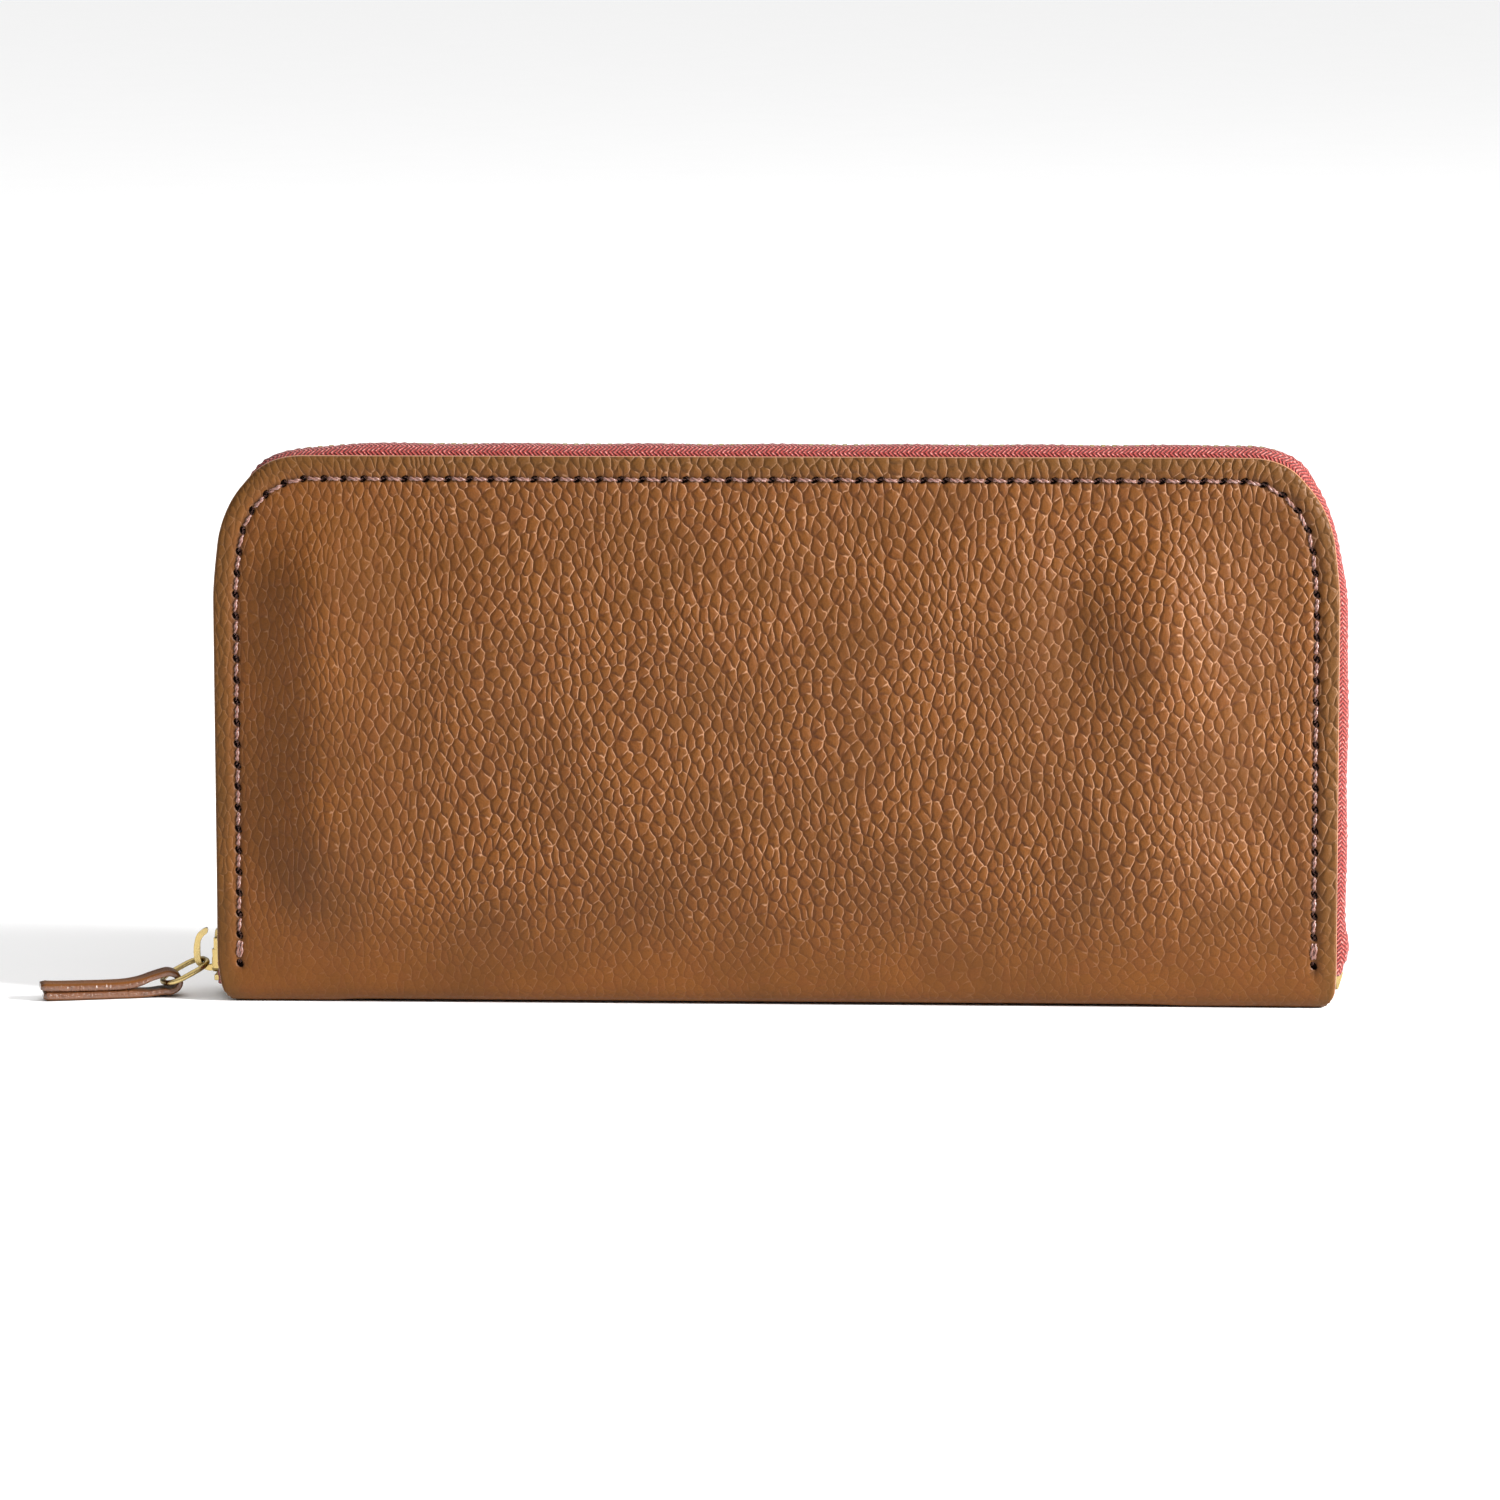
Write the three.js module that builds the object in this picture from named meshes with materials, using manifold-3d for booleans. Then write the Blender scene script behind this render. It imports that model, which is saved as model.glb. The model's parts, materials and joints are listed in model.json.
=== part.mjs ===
// Zip-around leather wallet standing on its spine fold.
// Millimetres. +Z up, +X to the wearer's right, the front cover faces -Y.
// The origin is the centre of the spine's underside.

import * as THREE from "three";
import { mergeVertices } from "three/addons/utils/BufferGeometryUtils.js";
import Module from "manifold-3d";

const wasm = await Module();
wasm.setup();

// ---------------------------------------------------------------- driving dimensions

const halfWidth = 100; // leather edge to centre, along X
const height = 98; // top edge of the leather
const cornerRadius = 16;
const edgeDepth = 9.5; // half of the thickness at the sewn rim
const bellyDepth = 12.5; // half of the thickness in the middle
const rimMargin = 7; // the sewn rim stays flat this far in
const rampLength = 26; // from the flat rim to the full belly
const gap = 0.3; // running clearance between neighbours

const leather = 1.6;
const lining = 0.5;
const spineHalfDepth = 6.5; // the fold axes lie at this distance from the middle
const foldRadius = edgeDepth - spineHalfDepth;
const foldAxisZ = foldRadius;
const foldEndAngle = THREE.MathUtils.degToRad(45); // leather left on the cover below its fold axis
const spineHalfLength = 96.5;

const tapeThickness = 0.5;
const tapeSeat = 7.35; // mid-plane of the tape's sewn border, from the middle
const tapeBend = 1.9; // radius of the tape's turn over the rim
const tapeRise = 0.7; // mid-plane of the tape over the leather's edge
const tapeInner = 2.6; // the tape's free edge, from the middle
const teethInner = 0.5;
const teethNotch = 1.4;
const teethOuter = 2.3;
const teethLow = -0.1; // teeth, measured outwards from the leather's edge
const teethHigh = 1.8;
const toothPitch = 4; // one notch for every second metal tooth
const leftSink = 0.8; // the zip lies this much deeper down the left side

const sliderBottom = 4.2;
const sliderTop = 12;
const sliderHalfWidth = 3.5;
const channelLow = teethLow - gap;
const channelHigh = teethHigh + gap;
const plate = 0.5;
const hookHalfThickness = 0.5;
const hookOpening = 2.6; // clear width between the plate and the hook's band
const hookBand = 1.15;

const wireRadius = 0.5;
const ringHalfLength = 4.3; // centre line of the pull ring
const ringHalfWidth = 3.5;
const ringCorner = 3;
const ringSlope = THREE.MathUtils.degToRad(24.7); // the ring slopes down from the hook
const ringYaw = THREE.MathUtils.degToRad(26); // and swings towards the front
const ringHookX = -103.5; // centre of the ring's wire inside the hook
const ringHookZ = 6.1;

const tabWidth = 4.4;
const tabLength = 25.6; // from the glued end to the nose of the loop
const tabThickness = 3.1; // two layers glued flesh to flesh
const tabYaw = THREE.MathUtils.degToRad(14);
const tabEyeHalfLength = 1.55; // the eye that the ring's wire passes through
const tabEyeHalfHeight = 1.15;
const tabEyeShift = 0.55; // the eye's centre lies this far towards the nose from the wire
const tabEyeRise = 0.2; // and this far above it
const tabWall = 1.1;

const coinHalfLength = 93;
const coinHalfDepth = 2.9;
const coinWall = 0.6;
const coinFloor = 2.8;
const coinTop = 84.3;

const slotHalfWidth = 88;
const slotFloor = 6;
const slotTops = [88, 74, 60]; // each pocket is lower than the one behind it

// ---------------------------------------------------------------- materials

const brownLeather = { color: 0x8a5a35, roughness: 0.5, metalness: 0 };
const coralCloth = { color: 0xcc6a68, roughness: 0.85, metalness: 0 };
const tanLining = { color: 0xb98a63, roughness: 0.9, metalness: 0 };
const slotLeather = { color: 0x96663f, roughness: 0.6, metalness: 0 };
const goldMetal = { color: 0xd9b967, roughness: 0.25, metalness: 1 };

const wallet = new THREE.Group();

function addNode(name, geometry, look) {
  const mesh = new THREE.Mesh(geometry, new THREE.MeshStandardMaterial(look));
  mesh.name = name;
  wallet.add(mesh);
}

// ---------------------------------------------------------------- solid helpers

function bare(geometry) {
  const copy = geometry.clone();
  copy.deleteAttribute("normal");
  copy.deleteAttribute("uv");
  return mergeVertices(copy, 1e-4);
}

function solid(geometry) {
  const clean = bare(geometry);
  return new wasm.Manifold(
    new wasm.Mesh({
      numProp: 3,
      vertProperties: new Float32Array(clean.attributes.position.array),
      triVerts: new Uint32Array(clean.index.array),
    }),
  );
}

function geometryOf(manifold) {
  const mesh = manifold.getMesh();
  const geometry = new THREE.BufferGeometry();
  geometry.setAttribute("position", new THREE.BufferAttribute(mesh.vertProperties, 3));
  geometry.setIndex(new THREE.BufferAttribute(mesh.triVerts, 1));
  return geometry;
}

function join(...geometries) {
  const [first, ...others] = geometries.map(solid);
  return geometryOf(others.reduce((sum, next) => sum.add(next), first));
}

// A block between two opposite corners.
function block(low, high) {
  const size = high.map((value, axis) => value - low[axis]);
  const centre = high.map((value, axis) => (value + low[axis]) / 2);
  return new THREE.BoxGeometry(...size).translate(...centre);
}

// The same piece on the back half.
function mirrored(geometry) {
  const copy = bare(geometry);
  copy.scale(1, -1, 1);
  copy.setIndex(Array.from(copy.index.array).reverse());
  return copy;
}

// A slab whose two faces are grids: place(column, row, face) gives each corner, face 0 or 1.
function gridSlab(columns, rows, place) {
  const across = columns.length - 1;
  const up = rows.length - 1;
  const slab = bare(new THREE.BoxGeometry(across, 1, up, across, 1, up));
  const position = slab.attributes.position;
  for (let i = 0; i < position.count; i += 1) {
    const column = columns[Math.round(position.getX(i) + across / 2)];
    const row = rows[Math.round(position.getZ(i) + up / 2)];
    const face = position.getY(i) > 0 ? 1 : 0;
    position.setXYZ(i, ...place(column, row, face));
  }
  return slab;
}

// An outline in X and Z made solid along Y.
function upright(shape, lowY, highY) {
  const geometry = new THREE.ExtrudeGeometry(shape, { depth: highY - lowY, bevelEnabled: false, curveSegments: 8 });
  return geometry.rotateX(Math.PI / 2).translate(0, highY, 0);
}

function rangeBetween(from, to, steps) {
  return Array.from({ length: steps + 1 }, (_, i) => from + ((to - from) * i) / steps);
}

// ---------------------------------------------------------------- the covers' swelling

const columnsX = [
  -halfWidth - 1,
  ...rangeBetween(-halfWidth + rimMargin, -halfWidth + rimMargin + rampLength, 5),
  ...rangeBetween(halfWidth - rimMargin - rampLength, halfWidth - rimMargin, 5),
  halfWidth + 1,
];
const bellyFrom = 4; // the swelling starts just above the fold
const rowsZ = [
  ...rangeBetween(bellyFrom, bellyFrom + rampLength, 5),
  ...rangeBetween(height - rimMargin - rampLength, height - rimMargin, 5),
  height + 1,
];

function swelling(x, z) {
  const side = THREE.MathUtils.smoothstep(halfWidth - Math.abs(x), rimMargin, rimMargin + rampLength);
  const foot = THREE.MathUtils.smoothstep(z, bellyFrom, bellyFrom + rampLength);
  const top = THREE.MathUtils.smoothstep(height - z, rimMargin, rimMargin + rampLength);
  return side * foot * top;
}

// A front-half sheet that follows the swelling, cut to an outline.
function sheet(atRim, atBelly, thickness, outline, firstRow) {
  const slab = gridSlab(columnsX, [firstRow, ...rowsZ.filter((z) => z > firstRow)], (x, z, face) => {
    const depth = atRim + (atBelly - atRim) * swelling(x, z) - (face === 1 ? thickness : 0);
    return [x, -depth, z];
  });
  return geometryOf(solid(slab).intersect(solid(upright(outline, -20, 0))));
}

function sheetOutline(inset, floor) {
  const side = halfWidth - inset;
  const top = height - inset;
  const radius = cornerRadius - inset;
  const shape = new THREE.Shape();
  shape.moveTo(-side, floor);
  shape.lineTo(side, floor);
  shape.lineTo(side, top - radius);
  shape.absarc(side - radius, top - radius, radius, 0, Math.PI / 2);
  shape.absarc(-side + radius, top - radius, radius, Math.PI / 2, Math.PI);
  return shape;
}

function coverOutline() {
  const shape = new THREE.Shape();
  shape.moveTo(-96.3, -1);
  shape.lineTo(97.6, -1);
  shape.lineTo(98.6, 1.5);
  shape.lineTo(halfWidth, 6);
  shape.lineTo(halfWidth, height - cornerRadius);
  shape.absarc(halfWidth - cornerRadius, height - cornerRadius, cornerRadius, 0, Math.PI / 2);
  shape.absarc(-halfWidth + cornerRadius, height - cornerRadius, cornerRadius, Math.PI / 2, Math.PI);
  shape.lineTo(-halfWidth, 8);
  shape.lineTo(-99.5, 4.3);
  shape.lineTo(-98.6, 1.8);
  shape.lineTo(-97.8, 0.7);
  return shape;
}

// The cover's leather: a swollen panel whose foot turns under towards the spine.
function coverLeather() {
  const foot = rangeBetween(foldEndAngle, 0, 3).map((angle) => ({ angle }));
  const wall = rowsZ.map((z) => ({ z }));
  const slab = gridSlab(columnsX, [...foot, ...wall], (x, row, face) => {
    const inward = face === 1 ? leather : 0;
    if (row.angle !== undefined) {
      const radius = foldRadius - inward;
      return [x, -spineHalfDepth - radius * Math.cos(row.angle), foldAxisZ - radius * Math.sin(row.angle)];
    }
    const depth = edgeDepth + (bellyDepth - edgeDepth) * swelling(x, row.z) - inward;
    return [x, -depth, row.z];
  });
  return geometryOf(solid(slab).intersect(solid(upright(coverOutline(), -20, 0))));
}

// ---------------------------------------------------------------- the zip's path round the rim

const chainEndRight = 5.3;
const chainEndLeft = 4.1;
const straightSide = height - cornerRadius;
const cornerLength = (Math.PI / 2) * cornerRadius;
const topLength = 2 * (halfWidth - cornerRadius);

// Where the leather's edge is at a distance along the zip, and which way is outwards.
// The distance starts at the foot of the left side, at floor height.
function rimAt(distance) {
  if (distance <= straightSide) {
    return { x: -halfWidth, z: distance, outX: -1, outZ: 0 };
  }
  const afterCorner = distance - straightSide;
  if (afterCorner <= cornerLength) {
    const angle = Math.PI - afterCorner / cornerRadius;
    return cornerPoint(-1, angle);
  }
  const alongTop = afterCorner - cornerLength;
  if (alongTop <= topLength) {
    return { x: -halfWidth + cornerRadius + alongTop, z: height, outX: 0, outZ: 1 };
  }
  const intoCorner = alongTop - topLength;
  if (intoCorner <= cornerLength) {
    return cornerPoint(1, Math.PI / 2 - intoCorner / cornerRadius);
  }
  return { x: halfWidth, z: straightSide - (intoCorner - cornerLength), outX: 1, outZ: 0 };
}

function cornerPoint(side, angle) {
  const outX = Math.cos(angle);
  const outZ = Math.sin(angle);
  return {
    x: side * (halfWidth - cornerRadius) + cornerRadius * outX,
    z: height - cornerRadius + cornerRadius * outZ,
    outX,
    outZ,
  };
}

const rimLength = 2 * straightSide + 2 * cornerLength + topLength;

function onRim(distance, depthY, outwards) {
  const rim = rimAt(distance);
  const sunk = leftSink * (1 - THREE.MathUtils.smoothstep(distance, straightSide, straightSide + cornerLength));
  return [rim.x + (outwards - sunk) * rim.outX, depthY, rim.z + (outwards - sunk) * rim.outZ];
}

function tapeStations(from, to) {
  const corners = [straightSide, straightSide + cornerLength + topLength];
  const bends = corners.flatMap((start) => rangeBetween(start, start + cornerLength, 8));
  return [from, ...bends, to];
}

// The tape's section on the front half: flat under the leather, then over the rim to the teeth.
function tapeSection() {
  const bendCentreY = tapeSeat - tapeBend;
  const bendCentreOut = tapeRise - tapeBend;
  const turn = rangeBetween(0, Math.PI / 2, 4).map((angle) => ({
    y: bendCentreY + tapeBend * Math.cos(angle),
    out: bendCentreOut + tapeBend * Math.sin(angle),
    sideY: Math.cos(angle),
    sideOut: Math.sin(angle),
  }));
  const border = { y: tapeSeat, out: -rimMargin, sideY: 1, sideOut: 0 };
  const freeEdge = { y: tapeInner, out: tapeRise, sideY: 0, sideOut: 1 };
  return [border, ...turn, freeEdge];
}

function zipTape() {
  const stations = tapeStations(chainEndLeft - 1.2, rimLength - chainEndRight);
  return gridSlab(stations, tapeSection(), (distance, point, face) => {
    const offset = (face === 0 ? 0.5 : -0.5) * tapeThickness;
    return onRim(distance, -(point.y + offset * point.sideY), point.out + offset * point.sideOut);
  });
}

function zipTeeth() {
  const length = rimLength - chainEndRight - chainEndLeft;
  const steps = 2 * Math.round(length / toothPitch);
  const stations = rangeBetween(0, 1, steps).map((part, i) => ({
    distance: chainEndLeft + part * length,
    inner: i % 2 === 0 ? teethInner : teethNotch,
  }));
  return gridSlab(stations, ["root", "tip"], (station, row, face) => {
    const depth = row === "tip" ? station.inner : teethOuter;
    return onRim(station.distance, -depth, face === 0 ? teethHigh : teethLow);
  });
}

function topStop() {
  const low = [leftX(channelHigh + 0.3), -tapeInner + gap, chainEndLeft - gap - 1.1];
  const high = [leftX(channelLow - 0.2), -teethInner, chainEndLeft - gap];
  return block(low, high);
}

// ---------------------------------------------------------------- the inside of one half

function cardSlot(level) {
  const step = 0.85 * level;
  const shape = new THREE.Shape();
  shape.moveTo(-slotHalfWidth, slotFloor);
  shape.lineTo(slotHalfWidth, slotFloor);
  shape.lineTo(slotHalfWidth, slotTops[level]);
  shape.lineTo(-slotHalfWidth, slotTops[level]);
  return sheet(6 - step, 9.8 - step, 0.6, shape, bellyFrom);
}

// A V pleat between the cover's lining and the coin pocket's end.
function gusset(side) {
  const points = [
    [96.3, -5.95],
    [89.8, -5.05],
    [89.2, -4.7],
    [89.8, -4.35],
    [93.3, -3.65],
    [93.3, -3.25],
    [89.6, -3.95],
    [88.6, -4.7],
    [89.6, -5.45],
  ];
  const shape = new THREE.Shape(points.map(([x, y]) => new THREE.Vector2(side * x, y)));
  const pleatHeight = 64;
  const geometry = new THREE.ExtrudeGeometry(shape, { depth: pleatHeight, bevelEnabled: false });
  return geometry.translate(0, 0, slotFloor);
}

function addHalf(name, place) {
  addNode(`${name}_cover`, place(coverLeather()), brownLeather);
  addNode(`${name}_lining`, place(sheet(6.8, 10.6, lining, sheetOutline(2, bellyFrom + 1), bellyFrom)), tanLining);
  addNode(`${name}_tape`, place(zipTape()), coralCloth);
  addNode(`${name}_teeth`, place(zipTeeth()), goldMetal);
  addNode(`${name}_top_stop`, place(topStop()), goldMetal);
  slotTops.forEach((_, level) => {
    addNode(`${name}_card_slot_${level + 1}`, place(cardSlot(level)), slotLeather);
  });
  addNode(`${name}_gusset_left`, place(gusset(-1)), tanLining);
  addNode(`${name}_gusset_right`, place(gusset(1)), tanLining);
}

addHalf("front", bare);
addHalf("back", mirrored);

// ---------------------------------------------------------------- the spine and its stop

const spineEdge = spineHalfDepth - gap;
addNode("spine_leather", block([-spineHalfLength, -spineEdge, 0], [spineHalfLength, spineEdge, leather]), brownLeather);
addNode(
  "spine_lining",
  block([-95, -spineEdge + gap, leather + gap], [95, spineEdge - gap, leather + gap + lining]),
  tanLining,
);
addNode("bottom_stop", block([99.4, -2.2, 2.4], [101.6, 2.2, chainEndRight - gap]), goldMetal);

// ---------------------------------------------------------------- the slider, ring and tab

// A point on the left side of the zip, from its distance outwards.
function leftX(outwards) {
  return leftSink - halfWidth - outwards;
}

function sliderPlate(from, to) {
  return block([leftX(to), -sliderHalfWidth, sliderBottom], [leftX(from), sliderHalfWidth, sliderTop]);
}

function sliderFlange(side, from, to) {
  const inner = teethOuter + 0.65;
  const low = Math.min(side * inner, side * sliderHalfWidth);
  const high = Math.max(side * inner, side * sliderHalfWidth);
  return block([leftX(to), low, sliderBottom], [leftX(from), high, sliderTop]);
}

// The open C-hook that carries the ring, standing on the outer plate and open at the top.
function sliderHook() {
  const root = channelHigh + plate;
  const inner = root + hookOpening;
  const outer = inner + hookBand;
  const shape = new THREE.Shape();
  shape.moveTo(leftX(root - 0.2), sliderBottom);
  shape.lineTo(leftX(root + 1), sliderBottom);
  shape.quadraticCurveTo(leftX(outer), sliderBottom + 0.4, leftX(outer), sliderBottom + 3.4);
  shape.quadraticCurveTo(leftX(outer), sliderTop - 0.6, leftX(root + 0.7), sliderTop);
  shape.lineTo(leftX(root + 0.4), sliderTop - 1.1);
  shape.quadraticCurveTo(leftX(inner), sliderTop - 2, leftX(inner), sliderBottom + 2.6);
  shape.quadraticCurveTo(leftX(inner), sliderBottom + 1.1, leftX(root + 1), sliderBottom + 1);
  shape.lineTo(leftX(root - 0.2), sliderBottom + 1);
  return upright(shape, -hookHalfThickness, hookHalfThickness);
}

function sliderBody() {
  const tapeLow = tapeRise - tapeThickness / 2 - gap;
  const tapeHigh = tapeRise + tapeThickness / 2 + gap;
  const post = block([leftX(channelHigh + 0.1), -0.25, sliderBottom], [leftX(channelLow - 0.1), 0.25, sliderBottom + 2]);
  const flanges = [-1, 1].flatMap((side) => [
    sliderFlange(side, tapeHigh, channelHigh + plate),
    sliderFlange(side, channelLow - plate, tapeLow),
  ]);
  return join(
    sliderPlate(channelHigh, channelHigh + plate),
    sliderPlate(channelLow - plate, channelLow),
    post,
    sliderHook(),
    ...flanges,
  );
}

// The ring's frame: its length slopes down and forwards from the hook, its width lies level.
const ringAlong = new THREE.Vector3(
  -Math.cos(ringSlope) * Math.cos(ringYaw),
  -Math.cos(ringSlope) * Math.sin(ringYaw),
  -Math.sin(ringSlope),
);
const ringAcross = new THREE.Vector3(-Math.sin(ringYaw), Math.cos(ringYaw), 0);
const ringHookEnd = new THREE.Vector3(ringHookX, 0, ringHookZ);
const ringTabEnd = ringHookEnd.clone().addScaledVector(ringAlong, 2 * ringHalfLength);

function pullRing() {
  const ring = bare(new THREE.TorusGeometry(ringCorner, wireRadius, 8, 32));
  const stretch = (value, half) => (Math.abs(value) < 1e-3 ? value : value + Math.sign(value) * (half - ringCorner));
  const position = ring.attributes.position;
  for (let i = 0; i < position.count; i += 1) {
    const x = stretch(position.getX(i), ringHalfLength);
    const y = stretch(position.getY(i), ringHalfWidth);
    position.setXYZ(i, x, y, position.getZ(i));
  }
  const normal = new THREE.Vector3().crossVectors(ringAlong, ringAcross);
  const centre = ringHookEnd.clone().addScaledVector(ringAlong, ringHalfLength);
  ring.applyMatrix4(new THREE.Matrix4().makeBasis(ringAlong, ringAcross, normal).setPosition(centre));
  return ring;
}

// A strip folded round the ring and glued to itself, lying on the ground. Its outline is drawn
// with the ring's wire at x = 0, then turned about the wire's middle.
function pullTab() {
  const eyeZ = ringTabEnd.z + tabEyeRise;
  const loopHalfLength = tabEyeHalfLength + tabWall;
  const loopHalfHeight = tabEyeHalfHeight + tabWall;
  const nose = tabEyeShift + loopHalfLength;
  const end = nose - tabLength;
  const throat = end + tabLength * 0.66;
  const round = 0.8;
  const shape = new THREE.Shape();
  shape.moveTo(end + round, 0);
  shape.lineTo(throat, 0);
  shape.quadraticCurveTo(throat + 3, 0, tabEyeShift, eyeZ - loopHalfHeight);
  shape.absellipse(tabEyeShift, eyeZ, loopHalfLength, loopHalfHeight, -Math.PI / 2, Math.PI / 2);
  shape.quadraticCurveTo(throat + 3.5, tabThickness, throat, tabThickness);
  shape.lineTo(end + round, tabThickness);
  shape.quadraticCurveTo(end, tabThickness, end, tabThickness - round);
  shape.lineTo(end, round);
  shape.quadraticCurveTo(end, 0, end + round, 0);
  const eye = new THREE.Path();
  eye.absellipse(tabEyeShift, eyeZ, tabEyeHalfLength, tabEyeHalfHeight, 0, Math.PI * 2);
  shape.holes.push(eye);
  const strip = upright(shape, -tabWidth / 2, tabWidth / 2);
  return strip.rotateZ(tabYaw).translate(ringTabEnd.x, ringTabEnd.y, 0);
}

addNode("slider_body", sliderBody(), goldMetal);
addNode("pull_ring", pullRing(), goldMetal);
addNode("pull_tab", pullTab(), brownLeather);

// ---------------------------------------------------------------- the zipped coin pocket

const coinTapeLow = coinTop + gap;
const coinTapeHigh = coinTapeLow + tapeThickness;
const coinTeethLow = coinTapeLow - 0.3;
const coinTeethHigh = coinTapeHigh + 0.4;
const coinTeethOuter = 1.2;
const coinTapeInner = 1.5;
const coinZipHalf = 84;
const coinSliderHalfLength = 3.5;
const coinSliderHalfWidth = 2;
const coinSliderX = -coinZipHalf + 2.5 + coinSliderHalfLength;

function coinPocket() {
  const outside = block([-coinHalfLength, -coinHalfDepth, coinFloor], [coinHalfLength, coinHalfDepth, coinTop]);
  const inner = coinHalfDepth - coinWall;
  const inside = block([-coinHalfLength + coinWall, -inner, coinFloor + coinWall], [coinHalfLength - coinWall, inner, coinTop + 1]);
  return geometryOf(solid(outside).subtract(solid(inside)));
}

function coinTape() {
  return block([-coinZipHalf - 4, -coinHalfDepth, coinTapeLow], [coinZipHalf + 4, -coinTapeInner, coinTapeHigh]);
}

function coinTeeth() {
  const steps = 2 * Math.round((2 * coinZipHalf - 4) / toothPitch);
  const stations = rangeBetween(-coinZipHalf + 2, coinZipHalf - 2, steps).map((x, i) => ({
    x,
    inner: i % 2 === 0 ? 0.4 : 0.8,
  }));
  return gridSlab(stations, [coinTeethLow, coinTeethHigh], (station, z, face) => {
    return [station.x, face === 1 ? -station.inner : -coinTeethOuter, z];
  });
}

function coinStop(side) {
  const low = Math.min(side * (coinZipHalf - 1.7), side * coinZipHalf);
  return block([low, -1.2, coinTeethLow - 0.5], [low + 1.7, 1.2, coinTeethHigh + 0.5]);
}

function coinSlider() {
  const left = coinSliderX - coinSliderHalfLength;
  const right = coinSliderX + coinSliderHalfLength;
  const part = (lowY, highY, lowZ, highZ) => block([left, lowY, lowZ], [right, highY, highZ]);
  const top = coinTeethHigh + gap;
  const bottom = coinTeethLow - gap;
  const w = coinSliderHalfWidth;
  const flanges = [-w, w - 0.5].flatMap((y) => [
    part(y, y + 0.5, coinTapeHigh + gap, top + plate),
    part(y, y + 0.5, bottom - plate, coinTapeLow - gap),
  ]);
  const post = block([left, -0.2, bottom - 0.1], [left + 1.5, 0.2, top + 0.1]);
  const lugs = [-1.4, 0.9].map((y) => block([left + 1, y, top + 0.4], [left + 3, y + 0.5, top + plate + 1.2]));
  return join(part(-w, w, top, top + plate), part(-w, w, bottom - plate, bottom), post, ...flanges, ...lugs);
}

const coinPullX = coinSliderX - coinSliderHalfLength + 2;
const coinPullZ = coinTeethHigh + gap + plate + 0.3;

function coinPull() {
  return block([coinPullX - 0.4, -0.6, coinPullZ], [coinPullX + 9, 0.6, coinPullZ + 0.7]);
}

addNode("coin_pocket", coinPocket(), tanLining);
addNode("coin_tape_front", coinTape(), coralCloth);
addNode("coin_tape_back", mirrored(coinTape()), coralCloth);
addNode("coin_teeth_front", coinTeeth(), goldMetal);
addNode("coin_teeth_back", mirrored(coinTeeth()), goldMetal);
addNode("coin_stop_left", coinStop(-1), goldMetal);
addNode("coin_stop_right", coinStop(1), goldMetal);
addNode("coin_slider_body", coinSlider(), goldMetal);
addNode("coin_pull", coinPull(), goldMetal);

export default wallet;
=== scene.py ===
import json
import math
import random

import bmesh
import bpy
import numpy as np
from mathutils import Matrix, Vector
from mathutils.geometry import delaunay_2d_cdt

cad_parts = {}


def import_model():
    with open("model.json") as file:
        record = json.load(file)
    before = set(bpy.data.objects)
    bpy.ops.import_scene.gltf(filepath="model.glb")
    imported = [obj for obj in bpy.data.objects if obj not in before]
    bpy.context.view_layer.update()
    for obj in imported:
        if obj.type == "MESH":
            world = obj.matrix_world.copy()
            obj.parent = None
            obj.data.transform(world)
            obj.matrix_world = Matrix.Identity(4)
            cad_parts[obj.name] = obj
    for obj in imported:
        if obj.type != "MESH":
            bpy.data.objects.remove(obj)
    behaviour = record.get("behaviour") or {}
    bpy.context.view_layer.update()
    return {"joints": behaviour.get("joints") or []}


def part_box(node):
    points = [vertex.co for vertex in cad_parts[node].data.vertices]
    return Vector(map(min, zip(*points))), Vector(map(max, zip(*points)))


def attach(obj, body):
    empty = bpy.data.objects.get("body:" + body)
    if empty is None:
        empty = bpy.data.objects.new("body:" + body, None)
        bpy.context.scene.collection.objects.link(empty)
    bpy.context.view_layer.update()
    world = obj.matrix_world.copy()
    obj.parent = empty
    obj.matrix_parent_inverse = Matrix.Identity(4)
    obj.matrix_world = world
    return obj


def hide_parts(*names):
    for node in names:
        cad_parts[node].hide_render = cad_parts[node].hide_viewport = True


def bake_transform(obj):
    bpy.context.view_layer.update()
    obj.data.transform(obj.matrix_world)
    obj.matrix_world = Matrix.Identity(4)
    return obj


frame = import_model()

# A zip-around leather wallet that stands on its spine fold. Lengths are millimetres in the
# frame's axes until Shape.make() turns them into metres. Each half is made as the front one,
# with its outside towards -Y, and the back one is its mirror image.

random.seed(11)

MM = 0.001
joints = {joint["name"]: joint for joint in frame["joints"]}


def box_mm(node):
    low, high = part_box(node)
    return np.array(low) / MM, np.array(high) / MM


def joint_mm(name):
    return np.array(joints[name]["pos_m"]) / MM


def unit(vectors):
    """The same vectors, along the last axis, with a length of one."""
    return np.asarray(vectors) / np.linalg.norm(vectors, axis=-1, keepdims=True)


def smoothstep(value, low, high):
    part = np.clip((np.asarray(value, float) - low) / (high - low), 0, 1)
    return part * part * (3 - 2 * part)


# ---------------------------------------------------------------- driving dimensions

cover_low, cover_high = box_mm("front_cover")
HALF = cover_high[0]  # from the middle to the leather's side edges
TOP = cover_high[2] + 0.4  # the leather is cut a little taller
BELLY = -cover_low[1]  # half of the thickness in the middle
LEATHER = box_mm("spine_leather")[1][2]  # thickness
FOLD_Y = -joint_mm("front_open")[1]  # the folds' axes lie at this distance from the middle
FOLD_R = joint_mm("front_open")[2]
EDGE = FOLD_Y + FOLD_R  # half of the thickness at the sewn rim
CORNER = 16.0
RIM = 7.0  # the sewn rim stays flat this far in
RAMP = 26.0  # from the flat rim to the full belly
BELLY_FROM = 4.0

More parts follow.
